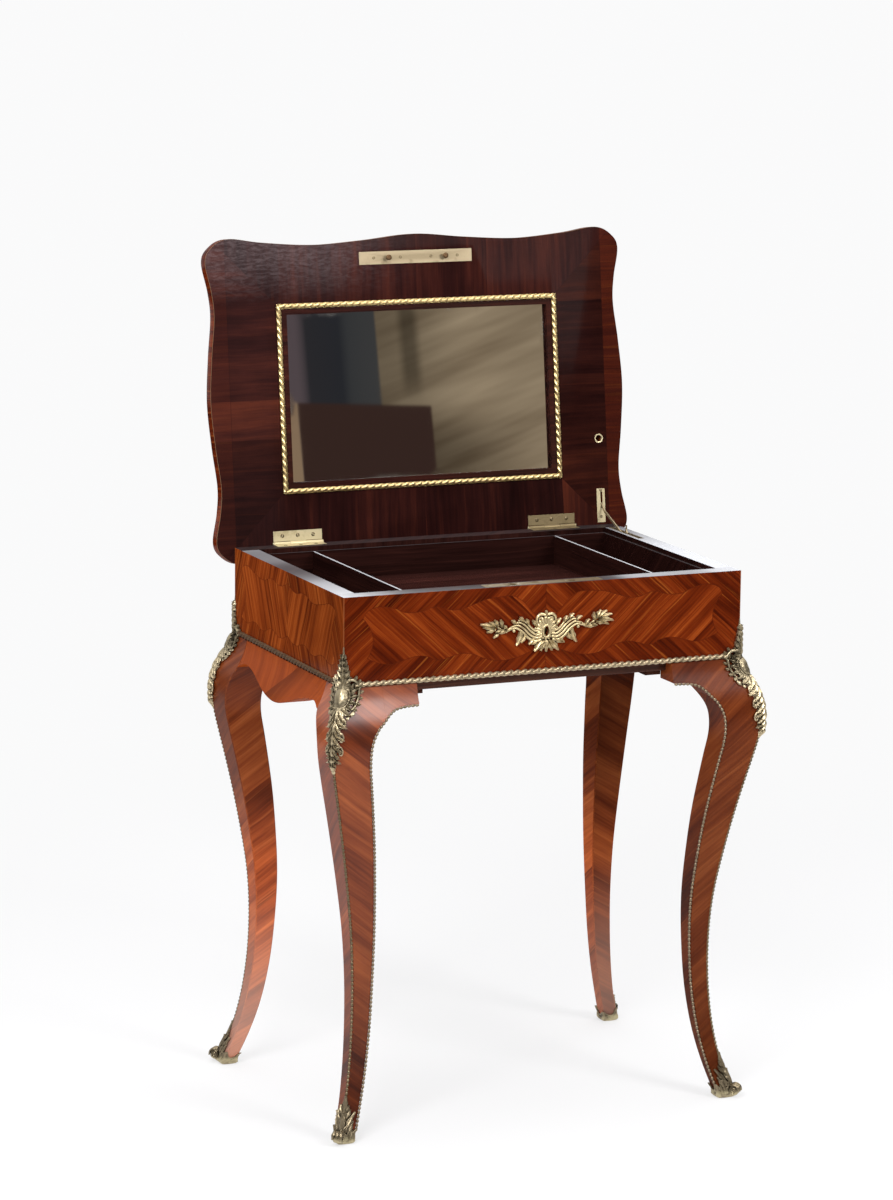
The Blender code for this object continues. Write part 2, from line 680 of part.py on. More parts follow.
def lid_outline():
    """Serpentine outline of the lid, clockwise from the middle of the front edge, as (x, y)."""
    wide = LID_HALF_W
    front = LID_FRONT
    back = -LID_REAR
    wave = LID_WAVE
    middle = (front + back) / 2
    quarter = (front - back) / 2
    half = [(0.0, front - 0.1 * wave), (0.24 * wide, front - 0.7 * wave), (0.49 * wide, front - 1.1 * wave),
            (0.73 * wide, front - 0.6 * wave), (0.89 * wide, front), (0.970 * wide, front - 1.1 * wave),
            (wide, middle + 0.86 * quarter), (wide - 0.7 * wave, middle + 0.68 * quarter),
            (wide - 0.95 * wave, middle + 0.52 * quarter), (wide - 0.4 * wave, middle + 0.28 * quarter),
            (wide, middle)]
    upper = half
    lower = [(x, 2 * middle - v) for x, v in half[-2::-1]]
    right = upper + lower
    loop = right + [(-x, v) for x, v in right[-2:0:-1]]
    points = []
    count = len(loop)
    for i in range(count):
        a, b, c, d = (Vector(loop[(i + k) % count]) for k in (-1, 0, 1, 2))
        for step in range(LID_STEPS):
            t = step / LID_STEPS
            bend = (2 * a - 5 * b + 4 * c - d) * t ** 2
            twist = (3 * b - a - 3 * c + d) * t ** 3
            spot = 0.5 * (2 * b + (c - a) * t + bend + twist)
            points.append((spot.x, -spot.y))
    return points


def inset_outline(points, amount):
    result = []
    count = len(points)
    for i, point in enumerate(points):
        along = (Vector(points[(i + 1) % count]) - Vector(points[i - 1])).normalized()
        result.append((point[0] - along.y * amount, point[1] + along.x * amount))
    return result


def make_lid_board():
    outline = lid_outline()
    rings = []
    for inset, up in LID_EDGE:
        z = LID_SEAT + up * LID_T
        rings.append([(x, y, z) for x, y in inset_outline(outline, inset)])
    lid = make_object("lid_board", loft(rings), ROSEWOOD, LID, (0.0, 0.0, 0.0), 40)
    under = LID_SEAT - WALL
    cut_block(lid, (-RECESS_W / 2, -MIRROR_V - RECESS_H / 2, under),
              (RECESS_W / 2, -MIRROR_V + RECESS_H / 2, LID_SEAT + MIRROR_RECESS))
    half_l = PLATE_L / 2 + FIT
    half_w = PLATE_W / 2 + FIT
    cut_block(lid, (-half_l, -LOCK_V - half_w, under), (half_l, -LOCK_V + half_w, LID_SEAT + PLATE_T + FIT))
    groove = BARREL_R + BARREL_ROOM
    for sign in (-1, 1):
        left = sign * HINGE_X - HINGE_L / 2 - PIN_HEAD_T - FIT - KNUCKLE_GAP
        right = sign * HINGE_X + HINGE_L / 2 + PIN_HEAD_T + FIT + KNUCKLE_GAP
        cut_block(lid, (left, -groove, under), (right, groove, LID_SEAT + groove))
        cut_block(lid, (sign * HINGE_X - HINGE_L / 2 - FIT, -HINGE_LEAF - FIT, under),
                  (sign * HINGE_X + HINGE_L / 2 + FIT, 0.0, LID_SEAT + LEAF_T + FIT))
    half_w = STAY_PLATE_W / 2 + FIT
    cut_block(lid, (STAY_X - half_w, -STAY_PLATE_HIGH_V - FIT, under),
              (STAY_X + half_w, -STAY_PLATE_LOW_V + FIT, LID_SEAT + LEAF_T + FIT))
    arm_x = STAY_X + SLOT_HALF / 2
    cut_block(lid, (arm_x - STAY_SLOT_HALF, -STAY_SLOT_HIGH_V, under),
              (arm_x + STAY_SLOT_HALF, -STAY_SLOT_LOW_V, LID_SEAT + STAY_SLOT_IN))
    cut_prism(lid, circle((STAY_X, -STAY_CLOSED_V), SOCKET_R), "z", under, LID_SEAT + SOCKET_DEPTH)


def make_frame_ring(name, outer, inner, low, high, material):
    """Rectangular ring round the mirror, in the lid's frame."""
    ring = block(name, (-outer[0] / 2, -MIRROR_V - outer[1] / 2, low),
                 (outer[0] / 2, -MIRROR_V + outer[1] / 2, high), material, LID)
    cut_block(ring, (-inner[0] / 2, -MIRROR_V - inner[1] / 2, low - WALL),
              (inner[0] / 2, -MIRROR_V + inner[1] / 2, high + WALL))


def make_mirror():
    wide = RECESS_W - 2 * FIT
    tall = RECESS_H - 2 * FIT
    top = LID_SEAT + MIRROR_RECESS - FIT
    face = top - GLASS_T
    block("mirror_glass", (-wide / 2, -MIRROR_V - tall / 2, face),
          (wide / 2, -MIRROR_V + tall / 2, top), MIRROR, LID)
    sight = (wide - 2 * SLIP_BAND, tall - 2 * SLIP_BAND)
    make_frame_ring("mirror_slip", (wide, tall), sight, LID_SEAT - SLIP_PROUD, face - FIT, DARK_WOOD)
    inside = (BORDER_W - 2 * BORDER_BAND, BORDER_H - 2 * BORDER_BAND)
    low = LID_SEAT - FIT - BORDER_T
    make_frame_ring("mirror_border", (BORDER_W, BORDER_H), inside, low, low + BORDER_T, GILT)


def make_strike():
    """Link plate in the lid, with two headed studs that drop through the rim plate."""
    half = PLATE_W / 2
    plate = block("strike_plate", (-PLATE_L / 2, -LOCK_V - half, LID_SEAT),
                  (PLATE_L / 2, -LOCK_V + half, LID_SEAT + PLATE_T), BRASS, LID)
    head_top = BOLT_LOW - AXIS_Z - FIT
    for sign in (-1, 1):
        centre = (sign * STUD_X, -LOCK_V)
        profile = ((STUD_NECK_R, LID_SEAT + PLATE_T / 2), (STUD_NECK_R, head_top), (STUD_HEAD_R, head_top),
                   (STUD_HEAD_R, head_top - STUD_HEAD_T / 2), (STUD_NECK_R, head_top - STUD_HEAD_T))
        rings = []
        for radius, z in profile:
            rings.append([(x, y, z) for x, y in circle(centre, radius, 12)])
        join(plate, make_object("stud", loft(rings), BRASS, LID))


def barrel_part(low, high, parent, centre):
    return prism("barrel", circle(centre, BARREL_R), "x", low, high, BRASS, parent)


def make_hinge(side):
    """Butt hinge: two leaves let in flush, three knuckles and a headed pin."""
    middle = {"left": -1, "right": 1}[side] * HINGE_X
    low = middle - HINGE_L / 2
    high = middle + HINGE_L / 2
    third = HINGE_L / 3
    near = BARREL_R + BARREL_ROOM
    hole = PIN_R + FIT
    name = "hinge_" + side
    case_leaf = block(name + "_case_leaf", (low, AXIS_Y - HINGE_LEAF, RIM_Z - LEAF_T),
                      (high, AXIS_Y - near, RIM_Z), BRASS)
    lid_leaf = block(name + "_lid_leaf", (low, -HINGE_LEAF, LID_SEAT),
                     (high, -near, LID_SEAT + LEAF_T), BRASS, LID)
    for start, end in ((low, low + third - KNUCKLE_GAP / 2), (high - third + KNUCKLE_GAP / 2, high)):
        neck = block("neck", (start, AXIS_Y - 2 * near, RIM_Z - LEAF_T), (end, AXIS_Y - PIN_R, RIM_Z), BRASS)
        join(case_leaf, neck)
        join(case_leaf, barrel_part(start, end, TABLE, (AXIS_Y, AXIS_Z)))
    start = low + third + KNUCKLE_GAP / 2
    end = high - third - KNUCKLE_GAP / 2
    join(lid_leaf, block("neck", (start, -2 * near, LID_SEAT), (end, -PIN_R, LID_SEAT + LEAF_T), BRASS, LID))
    join(lid_leaf, barrel_part(start, end, LID, (0.0, 0.0)))
    cut_prism(case_leaf, circle((AXIS_Y, AXIS_Z), hole), "x", low - WALL, high + WALL)
    cut_prism(lid_leaf, circle((0.0, 0.0), hole), "x", low - WALL, high + WALL)
    profile = ((low - FIT - PIN_HEAD_T, PIN_HEAD_R), (low - FIT, PIN_HEAD_R), (low - FIT, PIN_R),
               (high + FIT, PIN_R), (high + FIT, PIN_HEAD_R), (high + FIT + PIN_HEAD_T, PIN_HEAD_R))
    rings = []
    for x, radius in profile:
        rings.append([(x - middle, y, z) for y, z in circle((0.0, 0.0), radius, 12)])
    make_object(name + "_pin", loft(rings), BRASS, TABLE, (middle, AXIS_Y, AXIS_Z), 50)


def turned(v, up, degrees):
    """Forward and up reach, from the hinge axis, of a lid point with the lid at an angle."""
    angle = math.radians(degrees)
    return Vector((v * math.cos(angle) - up * math.sin(angle), v * math.sin(angle) + up * math.cos(angle)))


def make_stay():
    """Folding stay: a slotted plate in the lid, an arm, and a slider in a track on the right rim."""
    pivot_up = LID_SEAT + STAY_PIVOT_IN
    closed_pivot = Vector((STAY_PIVOT_V, pivot_up))
    closed_slider = Vector((STAY_CLOSED_V, -STAY_SLIDER_DROP))
    reach = (closed_slider - closed_pivot).length
    open_pivot = turned(STAY_PIVOT_V, pivot_up, LID_OPEN_DEG)
    drop = open_pivot.y + STAY_SLIDER_DROP
    run = math.sqrt(reach ** 2 - drop ** 2)
    slider_out = open_pivot.x + run
    arm_x = STAY_X + SLOT_HALF / 2

    track_y = (AXIS_Y - TRACK_END, AXIS_Y - TRACK_START)
    track = block("stay_track", (STAY_X - TRACK_W / 2, track_y[0], RIM_Z - TRACK_DEPTH),
                  (STAY_X + TRACK_W / 2, track_y[1], RIM_Z), BRASS)
    floor = RIM_Z - TRACK_DEPTH + SLOT_FLOOR
    cut_block(track, (STAY_X - SLOT_HALF, track_y[0] + SLOT_WALL, floor),
              (STAY_X + SLOT_HALF, track_y[1] - SLOT_WALL, RIM_Z + WALL))

    holder = make_empty("stay_slider_seat", (STAY_X, AXIS_Y - slider_out, RIM_Z), TABLE)
    foot = floor + FIT - RIM_Z
    step = foot + SLIDER_FOOT_H
    half = [(SLIDER_FOOT, foot), (SLIDER_FOOT, step), (SLIDER_LEG, step), (SLIDER_LEG, SLIDER_STEM / 2),
            (SLIDER_STEM, SLIDER_CROTCH), (SLIDER_STEM, SLIDER_TOP)]
    outline = half + [(-y, z) for y, z in half[::-1]]
    near = -SLOT_HALF + FIT
    prism("stay_slider", outline, "x", near, near + SLIDER_T, BRASS, holder)

    half_w = STAY_PLATE_W / 2
    plate = block("stay_plate", (STAY_X - half_w, -STAY_PLATE_HIGH_V, LID_SEAT),
                  (STAY_X + half_w, -STAY_PLATE_LOW_V, LID_SEAT + LEAF_T), BRASS, LID)
    cut_block(plate, (arm_x - STAY_SLOT_HALF, -STAY_SLOT_HIGH_V, LID_SEAT - WALL),
              (arm_x + STAY_SLOT_HALF, -STAY_SLOT_LOW_V, LID_SEAT + WALL))

    aim = math.radians(LID_OPEN_DEG) + math.atan2(drop, run)
    arm_seat = make_empty("stay_arm_pivot", (arm_x, -STAY_PIVOT_V, pivot_up), LID, aim)
    eye = circle((0.0, 0.0), ARM_EYE_R)
    lower = -ARM_CRANK - ARM_HALF
    upper = -ARM_CRANK + ARM_HALF
    arm = prism("stay_arm", eye, "x", -ARM_T / 2, ARM_T / 2, BRASS, arm_seat)
    far = ARM_CRANK_END - reach
    bar = [(0.0, -ARM_HALF), (-ARM_CRANK_AT, -ARM_HALF), (-ARM_CRANK_END, lower), (far, lower),
           (-reach, -ARM_HALF), (-reach, ARM_HALF), (far, upper), (-ARM_CRANK_END, upper),
           (-ARM_CRANK_AT, ARM_HALF), (0.0, ARM_HALF)]
    join(arm, prism("bar", bar, "x", -ARM_T / 2, ARM_T / 2, BRASS, arm_seat))
    join(arm, prism("end", circle((-reach, 0.0), ARM_EYE_R), "x", -ARM_T / 2, ARM_T / 2, BRASS, arm_seat))


make_case()
make_tray()
for corner in CORNERS:
    make_leg(corner)
    make_sabot(corner)
    make_knee_mount(corner)
    make_arris_trim(corner)
for side in ("left", "right"):
    make_ear(side)
    make_inner_trim(side)
    make_hinge(side)
side_half = HALF_D - KNEE_BLOCK - FIT
back_half = HALF_W - KNEE_BLOCK - FIT
make_apron("apron_left", side_half, on_left)
make_apron("apron_right", side_half, on_right)
make_apron("apron_back", back_half, on_back)
make_drawer_bay()
for name, half, place in (("front", HALF_W, on_front), ("back", HALF_W, on_back),
                          ("left", HALF_D, on_left), ("right", HALF_D, on_right)):
    make_moulding("base_moulding_" + name, half - MOULDING_STOP, place)
make_escutcheon()
make_lock()
make_lid_board()
make_mirror()
make_strike()
make_stay()
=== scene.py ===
"""Looks of the work table: veneers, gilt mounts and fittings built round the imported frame."""
import json
import math

import bmesh
import bpy
import numpy as np
from mathutils import Matrix, Vector


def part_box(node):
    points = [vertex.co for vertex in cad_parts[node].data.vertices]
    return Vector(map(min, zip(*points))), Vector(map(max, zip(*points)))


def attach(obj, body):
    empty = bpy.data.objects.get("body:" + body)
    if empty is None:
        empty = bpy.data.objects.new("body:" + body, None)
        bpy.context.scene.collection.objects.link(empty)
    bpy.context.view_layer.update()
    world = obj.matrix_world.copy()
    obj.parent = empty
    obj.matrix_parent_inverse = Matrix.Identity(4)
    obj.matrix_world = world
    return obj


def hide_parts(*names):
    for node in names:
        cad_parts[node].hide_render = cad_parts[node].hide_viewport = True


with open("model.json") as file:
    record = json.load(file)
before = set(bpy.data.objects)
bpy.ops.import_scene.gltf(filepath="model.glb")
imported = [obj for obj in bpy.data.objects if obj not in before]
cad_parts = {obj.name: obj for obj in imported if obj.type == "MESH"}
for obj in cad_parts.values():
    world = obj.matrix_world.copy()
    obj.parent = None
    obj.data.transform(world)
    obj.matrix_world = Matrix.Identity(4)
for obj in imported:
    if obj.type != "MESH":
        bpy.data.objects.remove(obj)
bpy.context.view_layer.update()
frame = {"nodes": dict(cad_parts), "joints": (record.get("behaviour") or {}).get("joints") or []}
NODES = frame["nodes"]
SCENE = bpy.context.scene
MM = 0.001
UP = Vector((0.0, 0.0, 1.0))

# Places taken from the frame
front_low, front_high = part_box("case_front")
back_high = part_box("case_back")[1]
HALF_W = front_high.x
MID_Y = (front_low.y + back_high.y) / 2
HALF_D = (back_high.y - front_low.y) / 2
RIM_Z = front_high.z
BASE_Z = front_low.z
HINGE = Vector(next(j["pos_m"] for j in frame["joints"] if j["name"] == "lid_hinge"))
CORNERS = {"front_left": (-1, -1), "front_right": (1, -1), "rear_left": (-1, 1), "rear_right": (1, 1)}
SIDES = (-1, 1)

# Shut lid's own frame, in which x runs across, y to the back and z up from the underside
LID_TILT = math.radians(-97.0)
LID_FRAME = Matrix.Translation(HINGE) @ Matrix.Rotation(LID_TILT, 4, "X")
LID_DOWN = LID_FRAME.to_3x3() @ -UP
LID_T = 0.0203
MIRROR_V = 0.1967
HINGE_X = 0.1905
STAY_X = 0.268
SOCKET_V = 0.12


def node_sum(operation):
    return lambda value, other: value.tree.math(operation, value, other)


class Value:
    """A number in a node tree, whose sums add nodes."""

    def __init__(self, tree, socket):
        self.tree = tree
        self.socket = socket

    __add__ = __radd__ = node_sum("ADD")
    __sub__ = node_sum("SUBTRACT")
    __mul__ = __rmul__ = node_sum("MULTIPLY")
    __truediv__ = node_sum("DIVIDE")
    __pow__ = node_sum("POWER")

    def __rsub__(self, other):
        return self.tree.math("SUBTRACT", other, self)

    def __abs__(self):
        return self.tree.math("ABSOLUTE", self)


class Tree:
    """Short calls that add nodes to a node tree."""

    def __init__(self, tree):
        self.tree = tree

    def feed(self, socket, value):
        if isinstance(value, Value):
            self.tree.links.new(value.socket, socket)
        elif socket.type == "RGBA":
            socket.default_value = (*value, 1.0)
        else:
            socket.default_value = value

    def new(self, kind, inputs=(), **settings):
        made = self.tree.nodes.new(kind)
        for key, value in settings.items():
            setattr(made, key, value)
        for key, value in dict(inputs).items():
            self.feed(made.inputs[key], value)
        return made

    def node(self, kind, inputs=(), output=0, **settings):
        return Value(self, self.new(kind, inputs, **settings).outputs[output])

    def math(self, operation, a, b=0.0):
        return self.node("ShaderNodeMath", {0: a, 1: b}, operation=operation)

    def most(self, a, b):
        return self.math("MAXIMUM", a, b)

    def least(self, a, b):
        return self.math("MINIMUM", a, b)

    def turn(self, a, b, degrees):
        """Along and across coordinates of a direction at an angle to the first axis."""
        c = math.cos(math.radians(degrees))
        s = math.sin(math.radians(degrees))
        return a * c + b * s, b * c - a * s

    def pick(self, factor, a, b):
        """Number a where the factor is 0 and b where it is 1."""
        return self.node("ShaderNodeMix", {0: factor, 2: a, 3: b}, data_type="FLOAT")

    def blend(self, factor, a, b):
        """Colour a where the factor is 0 and b where it is 1."""
        return self.node("ShaderNodeMix", {0: factor, 6: a, 7: b}, 2, data_type="RGBA")

    def scale(self, colour, tone):
        return self.node("ShaderNodeVectorMath", {0: colour, "Scale": tone}, operation="SCALE")

    def step(self, value, low, high):
        return self.node("ShaderNodeMapRange", {0: value, 1: low, 2: high}, interpolation_type="SMOOTHSTEP")

    def noise(self, x, y, z, detail=2.0, rough=0.5, bend=0.0):
        place = self.node("ShaderNodeCombineXYZ", {0: x, 1: y, 2: z})
        return self.node("ShaderNodeTexNoise", {"Vector": place, "Scale": 1.0, "Detail": detail,
                                                "Roughness": rough, "Distortion": bend})

    def ramp(self, factor, stops):
        made = self.new("ShaderNodeValToRGB", {0: factor})
        marks = made.color_ramp.elements
        while len(marks) < len(stops):
            marks.new(0.5)
        for mark, (place, colour) in zip(marks, stops):
            mark.position = place
            mark.color = (*colour, 1.0)
        return Value(self, made.outputs[0])

    def curve(self, value, points):
        """Number read from a curve over 0 to 1."""
        made = self.new("ShaderNodeFloatCurve", {1: value})
        line = made.mapping.curves[0].points
        while len(line) < len(points):
            line.new(0.5, 0.5)
        for spot, point in zip(line, points):
            spot.location = point
        made.mapping.update()
        return Value(self, made.outputs[0])

    def split(self, vector):
        parts = self.new("ShaderNodeSeparateXYZ", {0: vector}).outputs
        return [Value(self, part) for part in parts]

    def place(self, lid=False):
        """Object coordinates in the row frame, or in the shut lid's own frame."""
        spot = self.node("ShaderNodeTexCoord", (), "Object")
        if lid:
            spot = self.node("ShaderNodeMapping", {"Vector": spot, "Location": HINGE,
                                                   "Rotation": (LID_TILT, 0.0, 0.0)}, vector_type="TEXTURE")
        return self.split(spot)

    def normal(self):
        return self.split(self.node("ShaderNodeTexCoord", (), "Normal"))

    def seen(self):
        """1 on rays from the camera, and on those that gloss or glass passes on."""
        rays = self.new("ShaderNodeLightPath").outputs
        direct, gloss, glass = (Value(self, rays[name]) for name in ("Is Camera Ray", "Is Glossy Ray",
                                                                     "Is Transmission Ray"))
        return self.most(direct, self.most(gloss, glass))


class Shade(Tree):
    """A material."""

    def __init__(self, name, roughness=0.4, metallic=0.0, coat=0.0, coat_roughness=0.1):
        self.material = bpy.data.materials.new(name)
        self.material.use_nodes = True
        super().__init__(self.material.node_tree)
        self.out = self.tree.nodes["Principled BSDF"]
        for socket, value in (("Roughness", roughness), ("Metallic", metallic), ("Coat Weight", coat),
                              ("Coat Roughness", coat_roughness), ("Specular IOR Level", 0.0)):
            self.set(socket, value)

    def set(self, socket, value):
        self.feed(self.out.inputs[socket], value)

    def polish(self, colour, height, depth=0.00004):
        bump = self.node("ShaderNodeBump", {"Height": height, "Strength": 1.0, "Distance": depth})
        self.set("Base Color", colour)
        self.set("Normal", bump)
        return self.material

    def show(self, shader):
        self.feed(self.tree.nodes["Material Output"].inputs["Surface"], shader)
        return self.material


# Woods as ramps of colour
KINGWOOD = ((0.27, (0.023, 0.0028, 0.001)), (0.42, (0.064, 0.0074, 0.0016)),
            (0.55, (0.12, 0.016, 0.0028)), (0.69, (0.205, 0.035, 0.0056)), (0.86, (0.36, 0.092, 0.014)))
GOLDWOOD = ((0.27, (0.046, 0.0072, 0.0018)), (0.42, (0.112, 0.0175, 0.003)),
            (0.55, (0.19, 0.0345, 0.0054)), (0.69, (0.295, 0.063, 0.01)), (0.86, (0.45, 0.13, 0.022)))
APRONWOOD = tuple((place, tuple(0.45 * c + 0.55 * m for c, m in zip(colour, GOLDWOOD[2][1])))
                  for place, colour in GOLDWOOD)
LEGWOOD = ((0.27, (0.06, 0.0098, 0.0024)), (0.42, (0.122, 0.0215, 0.0048)),
           (0.55, (0.182, 0.036, 0.0082)), (0.69, (0.262, 0.06, 0.0145)), (0.86, (0.37, 0.104, 0.028)))
ROSEWOOD = ((0.25, (0.008, 0.0026, 0.0026)), (0.45, (0.018, 0.0048, 0.0042)),
            (0.6, (0.034, 0.0084, 0.006)), (0.8, (0.066, 0.015, 0.008)))
TRAYWOOD = ((0.3, (0.008, 0.0028, 0.0024)), (0.55, (0.02, 0.0064, 0.0052)), (0.8, (0.04, 0.0125, 0.0092)))
# The tray's wood painted lighter for its floor, for the light and reflections that it catches
LIT_TRAYWOOD = tuple((place, tuple(1.75 * c for c in colour)) for place, colour in TRAYWOOD)
CARCASS = ((0.3, (0.03, 0.011, 0.007)), (0.55, (0.058, 0.0205, 0.012)), (0.8, (0.1, 0.037, 0.02)))

# Edges of the veneer fields from the middle to the end of a face, in tenths of a metre from mid height
FRONT_TOP = ((0.0, 0.05), (0.07, 0.24), (0.137, 0.42), (0.17, 0.46), (0.25, 0.455), (0.3, 0.44),
             (0.345, 0.4), (0.458, 0.33), (0.546, 0.39), (0.627, 0.34), (0.694, 0.34), (0.746, 0.4),
             (0.82, 0.44), (0.87, 0.41), (0.91, 0.27), (0.95, 0.05), (1.0, 0.0))
FRONT_LOW = ((0.0, 0.23), (0.085, 0.3), (0.15, 0.36), (0.236, 0.38), (0.31, 0.33), (0.37, 0.266),
             (0.426, 0.25), (0.472, 0.28), (0.532, 0.316), (0.585, 0.26), (0.632, 0.24), (0.718, 0.29),
             (0.771, 0.32), (0.866, 0.25), (0.91, 0.18), (0.95, 0.04), (1.0, 0.0))
SIDE_TOP = ((0.0, 0.44), (0.14, 0.36), (0.3, 0.4), (0.46, 0.33), (0.62, 0.37), (0.78, 0.42), (0.9, 0.3),
            (1.0, 0.0))
SIDE_LOW = ((0.0, 0.26), (0.14, 0.34), (0.3, 0.28), (0.46, 0.36), (0.62, 0.3), (0.78, 0.36), (0.9, 0.26),
            (1.0, 0.0))

# Painted sheen along the rim, for its reflections, from left to right and from front to back
FRONT_SHINE = ((0.0, 0.54), (0.1, 0.25), (0.18, 0.08), (0.3, 0.04), (0.6, 0.06), (0.67, 0.08), (0.74, 0.36),
               (0.88, 0.34), (0.95, 0.55), (1.0, 0.62))
LEFT_SHINE = ((0.0, 0.6), (0.147, 0.45), (0.26, 0.36), (0.375, 0.165), (0.49, 0.08), (0.6, 0.08),
              (0.72, 0.17), (0.88, 0.19), (1.0, 0.34))
RIGHT_SHINE = ((0.0, 0.66), (0.5, 0.62), (0.8, 0.32), (1.0, 0.14))

# Slope of the grain, coat, coat of the knee, painted light and shade on the faces to front and back and on
# the sides, painted glow at the foot
LEG_LOOK = {"front_left": (38, 0.53, 0.92, 0.97, 1.42, 0.0), "front_right": (38, 0.17, 0.17, 0.7, 0.86, 0.0),
            "rear_left": (-32, 0.3, 0.3, 1.34, 1.2, 0.39), "rear_right": (-32, 0.09, 0.09, 0.53, 1.3, 0.22)}
# Half the painted light and shade along each leg, from the foot to the top
LEG_PAINTED_LIGHT = {"front_left": ((0.0, 0.28), (0.2, 0.31), (0.48, 0.42), (0.75, 0.47), (1.0, 0.5)),
            "front_right": ((0.0, 0.25), (0.13, 0.27), (0.3, 0.35), (0.57, 0.38), (0.85, 0.43), (1.0, 0.45)),
            "rear_left": ((0.0, 0.75), (0.17, 0.75), (0.42, 0.86), (0.58, 0.57), (0.72, 0.33), (1.0, 0.38)),
            "rear_right": ((0.0, 0.8), (0.15, 0.8), (0.375, 0.97), (0.55, 0.62), (0.72, 0.34), (1.0, 0.36))}
LEG_TOP = 0.6


def wood(s, along, across, seed, stops, leaf=0.03, leaf_tone=0.16, coarse=1.0, veins=1.0):
    """Streaked veneer colour and a fine height, cut from leaves of a given width."""
    across = across + (s.noise(along * 7.0, across * 7.0, seed) - 0.5) * 0.012
    number = s.math("FLOOR", across / leaf)
    random = s.node("ShaderNodeTexWhiteNoise", {"W": number + seed}, "Value", noise_dimensions="1D")
    shift = random * 3.0 + seed
    cloud = s.noise(along * 11.0, across * 24.0, seed + 5.0)
    broad = s.noise(along * 3.0, across * (80.0 * coarse), shift, 3.0, 0.58)
    fine = s.noise(along * 10.0, across * (380.0 * coarse), shift, 4.0, 0.62)
    vein = s.noise(along * 4.5, across * (250.0 * coarse), shift + 1.7, 3.0, 0.6)
    pore = s.noise(along * 70.0, across * 1500.0, seed)
    tone = broad * 0.6 + fine * 0.42 + (random - 0.5) * leaf_tone + (cloud - 0.5) * 0.22
    colour = s.ramp(tone, stops)
    colour = s.blend(s.step(vein, 0.56, 0.68) * (0.55 * veins), colour, stops[0][1])
    colour = s.blend(s.step(vein, 0.42, 0.3) * (0.4 * veins), colour, stops[-1][1])
    colour = s.blend(s.step(pore, 0.62, 0.74) * 0.35, colour, (0.012, 0.004, 0.003))
    return colour, fine * 0.5 + pore


def painted_sheen(s, colour, where, shine):
    """Painted sheen: pale base colour on upward faces seen at a low angle, for the polish's reflections."""
    facing = s.node("ShaderNodeLayerWeight", {"Blend": 0.5}, "Facing")
    return s.blend(s.step(facing, 0.52, 0.86) * where * shine, colour, (0.86, 0.88, 0.93))


def veneer_field(s, run, z, half, angle, top, bottom, seed, stops):
    """Book-matched veneer field inside a band of opposite grain, with a curved edge between them."""
    u = abs(run)
    v = z - (RIM_Z + BASE_Z) / 2
    share = u / half
    depth = s.least(s.curve(share, top) * 0.1 - v, v + s.curve(share, bottom) * 0.1)
    notch = (v / 0.03) ** 2.0 * 0.014 + (half - 0.041)
    depth = s.least(depth, notch - u)
    field = s.step(depth, -0.0002, 0.0002)
    in_along, in_across = s.turn(u, v, angle)
    out_along, out_across = s.turn(u, v, -angle)
    number = field * 5.7 + s.step(run, -0.0001, 0.0001) * 0.37 + seed
    along = s.pick(field, out_along, in_along)
    across = s.pick(field, out_across, in_across)
    colour, height = wood(s, along, across, number, stops, 0.034, 0.12)
    seam = s.least(abs(depth), u)
    colour = s.blend(s.step(seam, 0.0009, 0.0002) * 0.4, colour, (0.04, 0.007, 0.003))
    # Painted highlight along the corner arris at each end of the face
    return s.blend(s.step(half - u, 0.0014, 0.0006) * 0.3, colour, (0.42, 0.15, 0.05)), height


def case_material():
    """Veneered case: herringbone front and back, steep book-match on the sides, dark rim and inside."""
    s = Shade("case_veneer", 0.4, 0.0, 0.2, 0.08)
    x, y, z = s.place()
    nx, ny, nz = s.normal()
    depth_y = y - MID_Y
    rear = s.step(y, -0.0001, 0.0001)
    far = s.step(x, -0.0001, 0.0001)
    face, height = veneer_field(s, x, z, HALF_W, 43, FRONT_TOP, FRONT_LOW, rear * 3.7 + 0.4, KINGWOOD)
    wing = veneer_field(s, depth_y, z, HALF_D, 66, SIDE_TOP, SIDE_LOW, far * 2.3 + 7.2, GOLDWOOD)[0]
    wing = s.scale(wing, s.pick(s.step(depth_y, -0.14, 0.12), 0.88, 1.27))
    colour = s.blend(s.step(abs(nx) - abs(ny), -0.02, 0.02), face, wing)
    inside = (x * nx + depth_y * ny) * -1.0
    rim = s.step(nz, 0.6, 0.8)
    dark = s.most(s.step(inside, 0.01, 0.02), rim)
    grainy = wood(s, x + y, y - x, 3.3, TRAYWOOD, 0.2)[0]
    along_x = x * (0.5 / HALF_W) + 0.5
    along_y = depth_y * (0.5 / HALF_D) + 0.5
    # Painted sheen on the rim: its strength along each side, read from the curves above, for the rim's
    # reflections
    ends = s.pick(s.step(depth_y, -0.001, 0.001), s.curve(along_x, FRONT_SHINE), 0.02)
    sides = s.pick(far, s.curve(along_y, LEFT_SHINE), s.curve(along_y, RIGHT_SHINE))
    on_side = s.step(HALF_D - 0.0255 - abs(depth_y), -0.0005, 0.0005)
    s.set("Coat Weight", s.pick(rim, 0.2, 0.05))
    return s.polish(painted_sheen(s, s.blend(dark, colour, grainy), rim, s.pick(on_side, ends, sides)), height)


